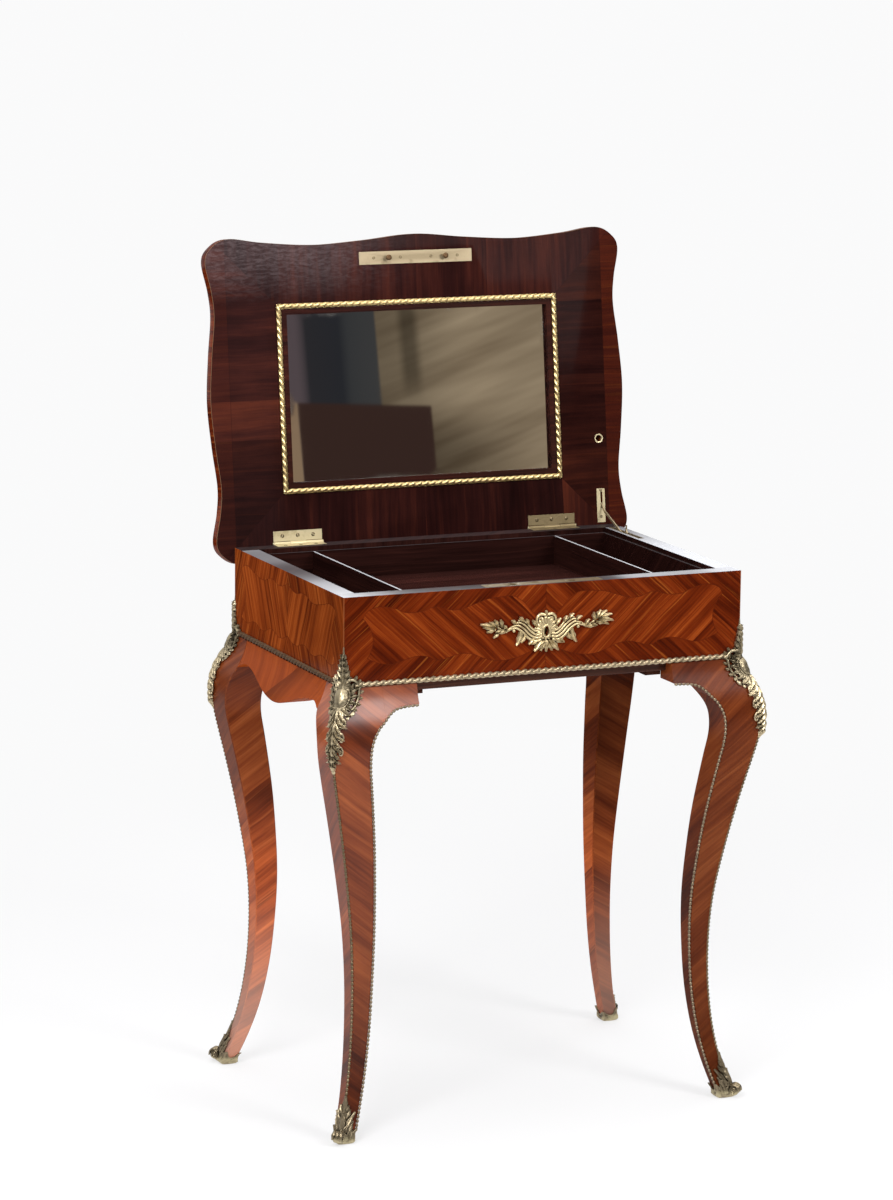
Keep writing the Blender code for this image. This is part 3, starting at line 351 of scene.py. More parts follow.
def leg_material(corner, seed):
    """Diagonal veneer on a leg: one slope on the faces to front and back, one on the sides."""
    sign_x, sign_y = CORNERS[corner]
    slope, coat, knee_coat, face_painted_light, flank_painted_light, painted_foot_glow = LEG_LOOK[corner]
    s = Shade("leg_veneer_" + corner, 0.4, 0.0, coat, 0.3)
    x, y, z = s.place()
    nx, ny, nz = s.normal()
    flank = s.step(abs(nx) - abs(ny), -0.05, 0.05)
    out_x = x * sign_x
    a1, c1 = s.turn(out_x, z, slope)
    a2, c2 = s.turn((y - MID_Y) * sign_y, z, slope)
    colour, height = wood(s, s.pick(flank, a1, a2), s.pick(flank, c1, c2), flank * 2.3 + seed, LEGWOOD,
                          0.048, 0.3, 0.8, 0.55)
    knee = s.step(out_x, 0.2, 0.235) * s.step(z, 0.535, 0.575)
    s.set("Coat Weight", s.pick(knee, coat, knee_coat))
    # Painted light and shade: a tone by face and by height, and a pale glow near the foot for light from the
    # floor
    painted_light = s.curve(z * (1 / LEG_TOP), LEG_PAINTED_LIGHT[corner]) * 2.0
    colour = s.scale(colour, s.pick(flank, face_painted_light, flank_painted_light) * painted_light)
    return s.polish(s.blend(s.step(z, 0.28, 0.04) * painted_foot_glow, colour, (0.62, 0.45, 0.37)), height)


def apron_material(name, use_y, seed):
    """Two leaves that meet in a slanting joint, the front one darker towards the joint."""
    s = Shade(name, 0.4, 0.0, 0.14, 0.25)
    x, y, z = s.place()
    run = y - MID_Y if use_y else x
    joint = run + (z - (BASE_Z - 0.03)) * 1.5
    side = s.step(joint, -0.0003, 0.0003)
    a1, c1 = s.turn(run * -1.0, z, 48)
    a2, c2 = s.turn(run, z, 76)
    colour, height = wood(s, s.pick(side, a1, a2), s.pick(side, c1, c2), side * 1.9 + seed, APRONWOOD,
                          0.11, 0.1, 0.6, 0.35)
    tone = s.pick(side, s.step(joint, 0.0, -0.075) * 0.6 + 0.88, 1.55)
    return s.polish(s.scale(colour, tone), height)


def plain_wood(name, stops, use_y, seed, roughness=0.45, coat=0.0, shine=0.0):
    s = Shade(name, roughness, 0.0, coat, 0.12)
    x, y, z = s.place()
    along, across = (y, x) if use_y else (x, y)
    colour, height = wood(s, along, across + z, seed, stops, 0.12, 0.08)
    if shine:
        # Painted highlight along the upward top edges just below the rim, through the painted sheen
        upper = s.step(s.normal()[2], 0.6, 0.8) * s.step(z, RIM_Z - 0.0075, RIM_Z - 0.007)
        colour = painted_sheen(s, colour, upper, shine)
    return s.polish(colour, height, 0.00006)


def lid_material():
    """Cross-banded dark rosewood below, mitred round the mirror; quartered kingwood on top."""
    s = Shade("lid_veneer", 0.32, 0.0, 0.25, 0.16)
    x, y, w = s.place(lid=True)
    u = abs(x)
    v = y * -1.0
    mid_v = v - MIRROR_V
    far_v = abs(mid_v)
    mitre = (u - 0.209) - (far_v - 0.129)
    ends = s.step(mitre, -0.0004, 0.0004)
    side = s.step(x, -0.0001, 0.0001)
    upper = s.step(mid_v, -0.0001, 0.0001)
    seed = side * 1.3 + upper * 2.9 + ends * 4.7
    colour, height = wood(s, s.pick(ends, v, x), s.pick(ends, x, v), seed, ROSEWOOD, 0.105, 0.2, 0.5, 0.5)
    left_tone = s.pick(s.step(v, 0.1425, 0.1435), 0.72, 1.16)
    tone = s.pick(ends, 1.06, s.pick(side, left_tone, 0.68))
    colour = s.scale(colour, tone * (s.noise(x * 9.0, v * 9.0, 2.0, 4.0, 0.6) + 0.5))
    margin = s.step(u, 0.279, 0.2805) * s.pick(side, 0.2, 0.55)
    warm = wood(s, x, v, 8.8, KINGWOOD, 0.2, 0.05)[0]
    colour = s.blend(margin, colour, s.blend(0.62, warm, (0.035, 0.008, 0.006)))
    seam = s.least(abs(mitre), abs(u - 0.2798))
    colour = s.blend(s.step(seam, 0.0008, 0.0002) * 0.4, colour, (0.008, 0.003, 0.003))
    # Painted sheen, rippled, at the upper left of the underside and faint along its left end, for
    # reflections in the polish
    ripple = s.noise(x * 80.0, v * 260.0, 7.0, 4.0, 0.65, 0.6)
    painted_sheen_patch = s.step(x, 0.03, -0.2) * s.step(v, 0.315, 0.395) * (s.step(ripple, 0.36, 0.72) * 0.13 + 0.06)
    painted_sheen_patch = s.most(painted_sheen_patch, s.step(x, -0.19, -0.23) * 0.008)
    colour = s.blend(painted_sheen_patch, colour, (0.34, 0.27, 0.28))
    in_along, in_across = s.turn(u, far_v, 40)
    out_along, out_across = s.turn(u, far_v, -50)
    band = s.step(s.most(u - 0.262, far_v - 0.172), -0.0003, 0.0003)
    top = wood(s, s.pick(band, in_along, out_along), s.pick(band, in_across, out_across),
               side * 0.7 + upper * 1.9 + band * 6.1, KINGWOOD, 0.04, 0.14)[0]
    over = s.step(w, 0.0014, 0.0018)
    s.set("Coat Weight", s.pick(over, 0.02, 0.25))
    colour = s.blend(over, colour, top)
    arris = s.step(w, 0.0022, 0.0016) * s.step(w, 0.0006, 0.001)
    return s.polish(s.blend(arris * 0.55, colour, (0.3, 0.19, 0.11)), height)


def metal(name, bright, dark, roughness, scale, worn=0.5, metallic=1.0, extra=""):
    """Gilt or brass with patina in hollows, painted shade in sheltered places, and soft patches.

    As extras, studs of the lock are darker, tails of the knee mounts get painted light, and soles are rubbed
    bright.
    """
    s = Shade(name, roughness, metallic)
    x, y, z = s.place()
    fine_scale = scale * 9
    patch = s.noise(x * scale, y * scale, z * scale, 4.0, 0.6)
    fine = s.noise(x * fine_scale, y * fine_scale, z * fine_scale, 3.0, 0.6)
    hollow = s.node("ShaderNodeNewGeometry", (), "Pointiness")
    sky = s.node("ShaderNodeAmbientOcclusion", {"Distance": 0.009}, "AO", samples=6, only_local=True)
    # Pointiness darkens hollows as patina; occlusion darkens sheltered places as painted shade
    patina_and_shade = s.most(s.step(hollow, 0.53, 0.44), s.step(sky, 0.86, 0.46)) * worn
    patina_and_shade = s.most(patina_and_shade, s.step(patch, 0.52, 0.72) * 0.5)
    colour = s.blend(patina_and_shade, bright, dark)
    if extra == "studs":
        colour = s.blend(s.step(s.place(lid=True)[2], -0.0006, -0.0014), colour, (0.12, 0.07, 0.036))
    # Painted light: the lower tails of the knee mounts made paler, for their downward-facing leaves
    if extra == "tails":
        colour = s.scale(colour, s.pick(s.step(z, 0.588, 0.56), 0.94, 1.48))
    if extra == "soles":
        rubbed = s.step(z, 0.0135, 0.006) * s.step(patch, 0.34, 0.56)
        colour = s.blend(rubbed * 0.75, colour, (0.62, 0.54, 0.33))
    s.set("Roughness", fine * 0.25 + (patina_and_shade * 0.25 + (roughness - 0.12)))
    return s.polish(colour, fine, 0.00012)


def mirror_material():
    s = Shade("old_mirror", 0.02, 1.0)
    x, y, w = s.place(lid=True)
    v = y * -1.0
    speck = s.noise(x * 160.0, v * 160.0, 1.0, 3.0, 0.6)
    cloud = s.noise(x * 9.0, v * 9.0, 4.0, 4.0, 0.6)
    edge = s.most(abs(x) - 0.186, abs(v - MIRROR_V) - 0.107)
    fox = s.most(s.step(speck, 0.73, 0.8), s.step(edge, -0.004, 0.01) * s.step(cloud, 0.45, 0.7))
    s.set("Base Color", s.blend(fox * 0.45, (0.8, 0.81, 0.79), (0.36, 0.33, 0.29)))
    s.set("Roughness", fox * 0.2 + cloud * 0.035)
    return s.material


GILT = metal("gilt_bronze", (0.41, 0.34, 0.22), (0.032, 0.023, 0.015), 0.36, 60.0, 0.95, 0.9, "tails")
PLATE_GILT = metal("bright_gilt", (0.72, 0.575, 0.325), (0.07, 0.045, 0.022), 0.36, 60.0, 0.9, 0.85)
SHOE_GILT = metal("shoe_gilt", (0.28, 0.225, 0.145), (0.016, 0.012, 0.009), 0.36, 90.0, 1.0, 0.9, "soles")
ROPE_GILT = metal("rope_gilt", (0.47, 0.375, 0.24), (0.016, 0.01, 0.006), 0.36, 90.0, 1.0, 0.85)
EDGE_GILT = metal("edge_gilt", (0.255, 0.196, 0.13), (0.014, 0.009, 0.006), 0.36, 140.0, 1.0, 0.85)
# Gilt of the back and side mouldings: a darker copy, painted shade for the dim surroundings it reflects
SHADED_SIDE_GILT = metal("shaded_side_gilt", (0.135, 0.08, 0.045), (0.012, 0.008, 0.005), 0.42, 90.0, 1.0, 0.8)
TRIM_GILT = metal("trim_gilt", (0.2, 0.15, 0.09), (0.01, 0.008, 0.005), 0.4, 140.0, 1.0, 0.9)
BORDER_GILT = metal("border_gilt", (0.8, 0.6, 0.28), (0.05, 0.028, 0.01), 0.32, 60.0, 1.0, 0.9)
BRASS = metal("satin_brass", (0.62, 0.53, 0.33), (0.28, 0.215, 0.105), 0.42, 45.0, 0.4, 0.6)
STUD_BRASS = metal("lock_brass", (0.385, 0.31, 0.2), (0.2, 0.155, 0.086), 0.42, 45.0, 0.4, 0.6, "studs")
RIM_BRASS = metal("rim_brass", (0.15, 0.112, 0.066), (0.07, 0.05, 0.028), 0.5, 45.0, 0.4, 0.3)
STAY_BRASS = metal("stay_brass", (0.36, 0.285, 0.18), (0.14, 0.104, 0.06), 0.42, 45.0, 0.4, 0.7)
DULL_BRASS = metal("dull_brass", (0.235, 0.18, 0.098), (0.11, 0.082, 0.042), 0.42, 45.0, 0.4, 0.6)
DARK_IRON = metal("dark_screw", (0.17, 0.13, 0.075), (0.03, 0.024, 0.018), 0.4, 80.0, 0.8)


def to_lid(points):
    return [LID_FRAME @ Vector(p) for p in points]


def circle(count):
    """Cosine and sine of even turns."""
    return [(math.cos(2 * math.pi * k / count), math.sin(2 * math.pi * k / count)) for k in range(count)]


def add_to_scene(name, data):
    obj = bpy.data.objects.new(name, data)
    SCENE.collection.objects.link(obj)
    return obj


def new_object(name, verts, faces, closed=True):
    """Mesh object, with its faces turned outwards where it is closed."""
    mesh = bpy.data.meshes.new(name)
    mesh.from_pydata([tuple(v) for v in verts], [], faces)
    mesh.update()
    if closed:
        shell = bmesh.new()
        shell.from_mesh(mesh)
        bmesh.ops.recalc_face_normals(shell, faces=shell.faces)
        shell.to_mesh(mesh)
        shell.free()
    return add_to_scene(name, mesh)


def smooth_shade(obj, degrees):
    obj.data.shade_smooth()
    obj.data.set_sharp_from_angle(angle=math.radians(degrees))


class Build:
    """Gathers many small closed forms into one mesh."""

    def __init__(self):
        self.verts = []
        self.faces = []

    def rings(self, rings, closed=False):
        """Skin rings of equal count and cap the ends, or close the row on itself."""
        start = len(self.verts)
        count = len(rings[0])
        for ring in rings:
            self.verts.extend(ring)
        rows = len(rings)
        for r in range(rows if closed else rows - 1):
            here = start + r * count
            there = start + (r + 1) % rows * count
            for i in range(count):
                j = (i + 1) % count
                self.faces.append((here + i, here + j, there + j, there + i))
        if not closed:
            for end in (start, start + (rows - 1) * count):
                self.faces.append(tuple(range(end, end + count)))

    def make(self, name, material, replaced=(), smooth=60, body="case"):
        obj = new_object(name, self.verts, self.faces)
        obj.data.materials.append(material)
        if smooth:
            smooth_shade(obj, smooth)
        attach(obj, body)
        if replaced:
            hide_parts(*replaced)
        return obj


class Surface:
    """A build, and the map from (a, b, height) in millimetres to places on the object."""

    def __init__(self, build, place):
        self.build = build
        self.place = place

    def __call__(self, a, b, h):
        return self.place(a, b, h)

    def raised(self, by):
        return Surface(self.build, lambda a, b, h: self.place(a, b, h + by))


def between(a, b, c, d, t):
    """Point between b and c on a smooth curve through four points."""
    square = 2 * a - 5 * b + 4 * c - d
    cube = 3 * b - a - 3 * c + d
    return 0.5 * (2 * b + (c - a) * t + square * t * t + cube * t ** 3)


def run_length(points):
    """Length along a line up to each of its points."""
    return np.concatenate([[0], np.cumsum(np.linalg.norm(np.diff(points, axis=0), axis=1))])


def spread(at, length, points):
    return np.stack([np.interp(at, length, points[:, k]) for k in range(points.shape[1])], axis=1)


def unit(vectors):
    return vectors / np.linalg.norm(vectors, axis=1)[:, None]


def spline(points, count):
    """Even points on a smooth open curve through control points."""
    pts = [np.array(p, float) for p in points]
    pts = [2 * pts[0] - pts[1]] + pts + [2 * pts[-1] - pts[-2]]
    dense = [between(*pts[i - 1:i + 3], t) for i in range(1, len(pts) - 2)
             for t in np.linspace(0, 1, 12, endpoint=False)]
    dense = np.array(dense + [pts[-2]])
    length = run_length(dense)
    return spread(np.linspace(0, length[-1], count), length, dense)


def twisted(build, path, outs, radius, pitch, depth, strands=1, steps=10, sides=10, flat=1.0):
    """Rope or ribbon along a path: a rod whose ribs wind round it, or pearls where no strand winds."""
    path = np.array([tuple(p) for p in path])
    outs = np.array([tuple(o) for o in outs])
    length = run_length(path)
    at = np.linspace(0, length[-1], max(1, round(length[-1] / pitch)) * steps + 1)
    centre = spread(at, length, path)
    out = spread(at, length, outs)
    ahead = unit(np.gradient(centre, axis=0))
    out = unit(out - ahead * np.sum(out * ahead, axis=1)[:, None])
    side = np.cross(ahead, out)
    rings = []
    for i in range(len(at)):
        ring = []
        for k, (c, s) in enumerate(circle(sides)):
            wave = abs(math.sin(math.pi * (i / steps + strands * k / sides)))
            r = radius * (1 - depth + depth * wave)
            ring.append(centre[i] + r * (flat * c * out[i] + s * side[i]))
        rings.append(ring)
    build.rings(rings)


def leaf(on, start, heading, length, width, height, curl=0.25, lobes=3, bend=0.0):
    """Acanthus leaf: a ribbed, lobed blade that rises from its base and rolls out at the tip.

    Sizes are in millimetres; heading is in degrees from +a towards +b.
    """
    rows = 13
    cols = 9
    thin = 0.7
    top = []
    low = []
    a, b = start
    angle = math.radians(heading)
    stride = length / (rows - 1)
    for r in range(rows):
        t = r / (rows - 1)
        body = math.sin(math.pi * (0.16 + 0.78 * t ** 0.85)) ** 0.8
        notch = 1 - 0.14 * (1 - math.cos(2 * math.pi * lobes * t))
        half = max(width / 2 * body * notch, width * 0.02)
        c, s = math.cos(angle), math.sin(angle)
        roll = curl * height * t ** 3
        lift = height * (0.35 + 0.65 * math.sin(math.pi * min(1.0, 0.25 + 0.8 * t))) + 2 * roll
        for col in range(cols):
            w = -1 + 2 * col / (cols - 1)
            rib = 0.75 * (1 - w * w) + 0.22 * math.cos(2.5 * math.pi * w) * (1 - 0.5 * t)
            h = lift * (0.28 + 0.72 * rib)
            sweep = abs(w) ** 1.6 * half * 0.3
            pa = a - s * w * half + c * sweep
            pb = b + c * w * half + s * sweep
            top.append(on(pa, pb, h))
            low.append(on(pa, pb, min(h - thin, roll)))
        a += c * stride
        b += s * stride
        angle += math.radians(bend) / (rows - 1)
    verts, faces = on.build.verts, on.build.faces
    base = len(verts)
    verts.extend(top + low)
    size = rows * cols
    for r in range(rows - 1):
        for col in range(cols - 1):
            i = base + r * cols + col
            j = i + size
            faces.append((i, i + 1, i + cols + 1, i + cols))
            faces.append((j, j + cols, j + cols + 1, j + 1))
    rim = [*range(cols), *range(2 * cols - 1, size, cols), *range(size - 2, size - cols - 1, -1),
           *range(size - 2 * cols, 0, -cols)]
    for edge, follow in zip(rim, rim[1:] + rim[:1]):
        faces.append((base + edge, base + size + edge, base + size + follow, base + follow))


def scroll(on, points, thick, thin, sink=0.45, ridge=0.18, sides=10):
    """Tapered moulded stem along a curve on the surface."""
    line = spline(points, 9 * len(points))
    ahead = unit(np.gradient(line, axis=0))
    rings = []
    for i, (a, b) in enumerate(line):
        radius = thick + (thin - thick) * i / (len(line) - 1)
        ring = []
        for k, (c, s) in enumerate(circle(sides)):
            r = radius * (1 - ridge + ridge * abs(math.cos(3 * math.pi * k / sides)))
            ring.append(on(a - ahead[i][1] * r * s, b + ahead[i][0] * r * s, radius * (1 - sink) + r * c))
        rings.append(ring)
    on.build.rings(rings)


def bead(on, a, b, radius, tall=1.0, across=1.0, sink=0.25, dome=0.6, flutes=0):
    """Low dome, round or oval, plain or fluted."""
    around = circle(6 * flutes or 12)
    rings = []
    for k in range(1, 8):
        polar = math.pi * k / 8
        reach = radius * math.sin(polar)
        ring = []
        for i, (c, s) in enumerate(around):
            rib = 1 - 0.22 * math.sin(polar) * abs(math.sin(flutes * math.pi * i / len(around)))
            ring.append(on(a + across * reach * c, b + tall * reach * s,
                           dome * radius * (1 - sink + math.cos(polar) * rib)))
        rings.append(ring)
    on.build.rings(rings)


def ring_mount(on, a, b, wide, tall, radius, lift=0.0):
    """Oval moulded ring lying on the surface."""
    on.build.rings([[on(a + (wide + radius * c) * turn_c, b + (tall + radius * c) * turn_s,
                        lift + radius * 0.7 + radius * s) for c, s in circle(8)]
                    for turn_c, turn_s in circle(28)], closed=True)


def collar(on, hole, edge, section, flutes):
    """Fluted plate between an oval hole and an oval edge, each (a, b, half width, half height)."""
    rings = []
    for i, (c, s) in enumerate(circle(8 * flutes)):
        dip = 1 - abs(math.sin(math.pi * i / 8))
        ring = []
        for share, height, fluted in section:
            a, b, wide, tall = (h + (e - h) * share for h, e in zip(hole, edge))
            grow = 1 - 0.1 * fluted * dip
            ring.append(on(a + wide * grow * c, b + tall * grow * s, height * (1 - 0.35 * fluted * dip)))
        rings.append(ring)
    on.build.rings(rings, closed=True)


def mirrored(points, side):
    return [(side * a, b) for a, b in points]


def heading(turn, side):
    """Direction of a leaf that is drawn for the right side."""
    return turn if side > 0 else 180 - turn


class LegLine:
    """Outer and inner reach of one leg, from the case corner, as smooth curves of height."""

    def __init__(self, corner):
        self.sx, self.sy = CORNERS[corner]
        levels = {}
        for vert in NODES["leg_" + corner].data.vertices:
            levels.setdefault(round(vert.co.z, 4), []).append(self.sx * vert.co.x - HALF_W)
        self.z = sorted(levels)
        self.fine = np.linspace(self.z[0], self.z[-1], 140)
        self.outer = self.smooth([max(levels[z]) for z in self.z])
        self.inner = self.smooth([-min(levels[z]) for z in self.z])

    def smooth(self, reach):
        values = np.interp(self.fine, self.z, reach)
        padded = np.concatenate([[values[0]] * 2, values, [values[-1]] * 2])
        result = np.convolve(padded, np.array([1, 2, 3, 2, 1]) / 9, "valid")
        result[:2] = values[:2]
        result[-2:] = values[-2:]
        return result

    def out(self, z):
        return float(np.interp(z, self.fine, self.outer))

    def inn(self, z):
        return float(np.interp(z, self.fine, self.inner))

    def world(self, p, q, z):
        return (self.sx * (HALF_W + p), MID_Y + self.sy * (HALF_D + q), z)


LEGS = {corner: LegLine(corner) for corner in CORNERS}
LEG_VENEER = {corner: leg_material(corner, 1.7 * number + 0.9) for number, corner in enumerate(CORNERS)}
LEG_SOFT = 0.0012
LEG_CHAMFER = 0.0029


def make_leg(corner):
    leg = LEGS[corner]
    rings = []
    for z in leg.fine:
        o = leg.out(z)
        n = leg.inn(z)
        join = LEG_SOFT
        if corner.startswith("front"):
            join += (0.0001 - LEG_SOFT) * min(1.0, max(0.0, (z - 0.54) / 0.02))
        points = ((o, o - LEG_CHAMFER), (o - LEG_CHAMFER, o), (join - n, o), (-n, o - join),
                  (-n, LEG_SOFT - n), (LEG_SOFT - n, -n), (o - LEG_SOFT, -n), (o, LEG_SOFT - n))
        rings.append([leg.world(p, q, z) for p, q in points])
    build = Build()
    build.rings(rings)
    build.make("veneered_leg_" + corner, LEG_VENEER[corner], ["leg_" + corner], 30)


EAR_END_Z = BASE_Z - 0.026
EAR_BACK = -0.0298


def ear_reach(side):
    low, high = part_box("front_ear_" + side)
    return HALF_W - min(abs(low.x), abs(high.x))


def ear_arch(reach):
    """Height and inward reach along an ear's underside, from its cut end into the leg."""
    cut = ((0.0, 0.0006), (0.0002, 0.008), (0.0008, 0.0205), (0.003, 0.033), (0.0065, 0.0395))
    return [(EAR_END_Z - drop, reach - back) for drop, back in cut] + [
        (0.5708, 0.057), (0.5672, 0.0536), (0.5635, 0.05), (0.5595, 0.0458)]


def make_ear(side):
    """Knee block beside a front leg, veneered in one run with it."""
    leg = LEGS["front_" + side]
    reach = ear_reach(side)
    levels = [(z, reach) for z in (BASE_Z - 0.0003, BASE_Z - 0.009, BASE_Z - 0.018, EAR_END_Z + 0.0008)]
    rings = []
    for z, r in levels + [tuple(p) for p in spline(ear_arch(reach), 46)]:
        o = leg.out(z)
        near = leg.inn(z) - 0.002
        end = -max(r, near + 0.0024)
        points = ((-near, o - 0.0004), (-near - 0.0022, o), (end, o), (end, EAR_BACK), (-near, EAR_BACK))
        rings.append([leg.world(p, q, z) for p, q in points])
    build = Build()
    build.rings(rings)
    name = "front_ear_" + side
    build.make("veneered_" + name, LEG_VENEER["front_" + side], [name], 8)


def make_apron(name, first, second, material):
    """Shaped rail between two legs, bulging with them and let into them at the ends."""
    one = LEGS[first]
    two = LEGS[second]
    sides = one.sx == two.sx
    half = (HALF_D if sides else HALF_W) - 0.053
    end = 0.021
    arch = half - end
    soft = 0.001
    back = -0.018
    rings = []
    for along in np.linspace(-half - 0.003, half + 0.003, 101):
        reach = abs(along)
        if reach <= arch:
            drop = 0.029 + 0.025 * (1 + math.cos(math.pi * along / arch)) / 2
        else:
            drop = 0.029 + 0.007 * min(1.0, (reach - arch) / end) ** 2
        share = (along + half) / (2 * half)
        sunk = 0.0004 if reach > half else 0.0
        levels = [BASE_Z - drop + (drop - 0.0004) * k / 12 for k in range(13)]
        outward = [(one.out(z) * (1 - share) + two.out(z) * share - sunk, z) for z in levels]
        foot = outward[0][0]
        low = levels[0]
        section = [(back, levels[-1]), (back, low), (foot - soft, low), (foot, low + soft)]
        ring = []
        for out, z in section + outward[1:]:
            if sides:
                ring.append((one.sx * (HALF_W + out), MID_Y + along, z))
            else:
                ring.append((along, MID_Y + one.sy * (HALF_D + out), z))
        rings.append(ring)
    build = Build()
    build.rings(rings)
    build.make("veneered_" + name, material, [name], 40)


def corner_surface(build, leg):
    """Map of a corner: a runs round the arris, onto the y face for a > 0, b is height, h stands off."""
    quarter = math.pi / 4
    bend = 0.006

    def place(a, b, h):
        a, b, h = a * MM, b * MM, h * MM
        reach = leg.out(b) if b < BASE_Z else 0.0
        if b > BASE_Z - 0.004:
            reach = max(reach, 0.0)
        turn = max(-1.0, min(1.0, a / bend)) * quarter
        reach -= 0.0012 * (1 - abs(turn) / quarter)
        p = reach - max(a, 0.0) + math.cos(quarter + turn) * h
        q = reach + min(a, 0.0) + math.sin(quarter + turn) * h
        return leg.world(p, q, b)

    return Surface(build, place)


# Knee mount in millimetres: ridge (height, half width, thickness), husks (height, size, spread),
# shell (turn, size), falling leaves and blades (height, size, width)
SPINE = ((668, 1, 2), (655, 1.8, 3.2), (640, 3, 4.2), (625, 5.2, 5), (614, 8.5, 5.4), (604, 14.5, 5.4),
         (594, 17.5, 5.4), (584, 15.5, 5.6), (574, 11.5, 6), (560, 9, 6.2), (545, 7.6, 6), (530, 6.3, 5.5),
         (517, 4.8, 4.7), (506, 3.2, 3.6), (501, 1.5, 2.2))
HUSKS = ((650, 8.5, 20), (642, 10, 26), (634, 11.5, 32), (626, 13, 40), (618, 14, 48))
SHELL = ((66, 11), (44, 12.5), (22, 13.5), (0, 13.8), (-22, 13.5), (-44, 12.5))
FALL = ((580, 16.8, 7.8), (572, 16.4, 7.6), (564, 15.7, 7.4), (556, 14.9, 7.2), (548, 14.1, 7),
        (540, 13.2, 6.7), (532, 12.3, 6.4), (524, 11, 6), (516, 9, 5.4))
BLADES = ((586, 24, 10.4), (570, 22, 9.8), (554, 21, 9), (539, 19, 8.2), (525, 16, 7), (514, 11, 5.6))
BOSS_Z = 596.5
ARC = ((5, 618), (14, 617), (21.2, 608), (22.6, 595.5), (19.5, 584.5), (14.2, 581.5), (11.6, 586),
       (14, 589.5))
ARC_LEAVES = ((15, 616.5, 52), (19, 612.5, 38), (21.2, 607, 22), (22.6, 601, 6), (22.4, 594.5, -10),
              (21.4, 588.5, -26), (19.2, 583.5, -44))
CURL = ((4.3, 5.5), (9.8, 4.2), (12.7, -0.8), (11.5, -5.6), (8.5, -4.8), (8.8, -2))


def make_knee_mount(corner):
    """Chute on the corner: husks above, a boss in a fluted shell, and a fall of leaves below."""
    build = Build()
    on = corner_surface(build, LEGS[corner])
    lifted = on.raised(1.8)
    build.rings([[on(wide * k / 6, b, tall * math.sqrt(1 - 0.98 * (k / 6) ** 2) - 1) for k in range(-6, 7)]
                 for b, wide, tall in SPINE])
    for z, size, spread_out in HUSKS:
        leaf(on, (0, z - 6), 90, size, 6, 7, 0.2, 2)
        for side in SIDES:
            leaf(on, (side * 0.8, z - 7), 90 - side * spread_out, size, size * 0.58, 5.8, 0.5, 2, side * 24)
    for side in SIDES:
        for turn, size in SHELL:
            rise = math.radians(turn)
            start = (side * 8 * math.cos(rise), BOSS_Z + 10.5 * math.sin(rise))
            leaf(on, start, heading(turn, side), size, 6.6, 6.6, 0.45, 2, side * 14)
        scroll(lifted, mirrored(ARC, side), 2.6, 1.4)
        for a, b, turn in ARC_LEAVES:
            leaf(on, (side * a, b), heading(turn, side), 6.6, 5.8, 5, 0.4, 1, side * 20)
        bead(on, side * 20, 576.5, 3.6)
        bead(on, side * 15.2, 571.5, 2.7)
        for row, (z, size, wide) in enumerate(FALL):
            spread_out, share = ((46, 1.0), (30, 0.84))[row % 2]
            leaf(on, (side * 2, z + 4), -90 + side * spread_out, size * share, wide, 6.6, 0.4, 3, side * 28)
            leaf(on, (side, z + 1), -90 + side * 16, size * 0.85, wide * 0.7, 8, 0.2, 2, side * 12)
        for z in (566, 549, 532):
            scroll(lifted, [(side * a, z + b) for a, b in CURL], 1.9, 1, 0.1)
            bead(lifted, side * 9.9, z - 2.2, 1.6)
    ring_mount(lifted, 0, BOSS_Z, 9.8, 12.8, 1.9)
    bead(lifted, 0, BOSS_Z, 8.8, 1.28, 0.94, 0.3, 0.44, 9)
    for k in range(16):
        turn = 22.5 * k + 11
        rise = math.radians(turn)
        leaf(lifted, (10.8 * math.cos(rise), BOSS_Z + 13.8 * math.sin(rise)), turn, 5.6, 5.2, 3.6, 0.3, 1)
    for z, size, wide in BLADES:
        leaf(on, (0, z), -90, size, wide, 8.6, 0.06, 3)
    bead(on, 0, 503.5, 3)
    build.make("chased_knee_mount_" + corner, GILT, ["knee_mount_" + corner])


PEARL_RADIUS = 0.002
PEARL_PITCH = 0.0056


def make_trim(corner):
    """Beaded strip down the arris."""
    leg = LEGS[corner]
    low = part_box("leg_arris_trim_" + corner)[0].z
    path = []
    for z in np.linspace(0.504, low, 60):
        o = leg.out(z) - 0.0012
        path.append(leg.world(o, o, z))
    build = Build()
    twisted(build, path, [(leg.sx, leg.sy, 0.0)] * len(path), PEARL_RADIUS, PEARL_PITCH, 0.62, 0, 8, 8)
    build.make("beaded_arris_trim_" + corner, TRIM_GILT, ["leg_arris_trim_" + corner])


def make_inner_trim(side):
    """Pearl bead under an ear and down the inner front edge of a front leg."""
    leg = LEGS["front_" + side]
    line = [(HALF_W - r, z) for z, r in spline(ear_arch(ear_reach(side)), 60)]
    line += [(HALF_W - leg.inn(z), z) for z in np.linspace(0.556, 0.015, 120)]
    line = spline(line, 400)
    for turn in range(6):
        line[1:-1] = (line[:-2] + 2 * line[1:-1] + line[2:]) / 4
    inset = 0.001
    path = []
    for (x, z), (dx, dz) in zip(line, unit(np.gradient(line, axis=0))):
        z -= inset * abs(dx)
        front = MID_Y - HALF_D - leg.out(min(z, BASE_Z - 0.0005))
        path.append((leg.sx * (x - inset * abs(dz)), front + 0.0004, z))
    build = Build()
    twisted(build, path, [(0.0, -1.0, 0.0)] * len(path), PEARL_RADIUS, PEARL_PITCH, 0.72, 0, 8, 8)
    build.make("rope_inner_trim_" + side, EDGE_GILT, ["leg_inner_trim_" + side])


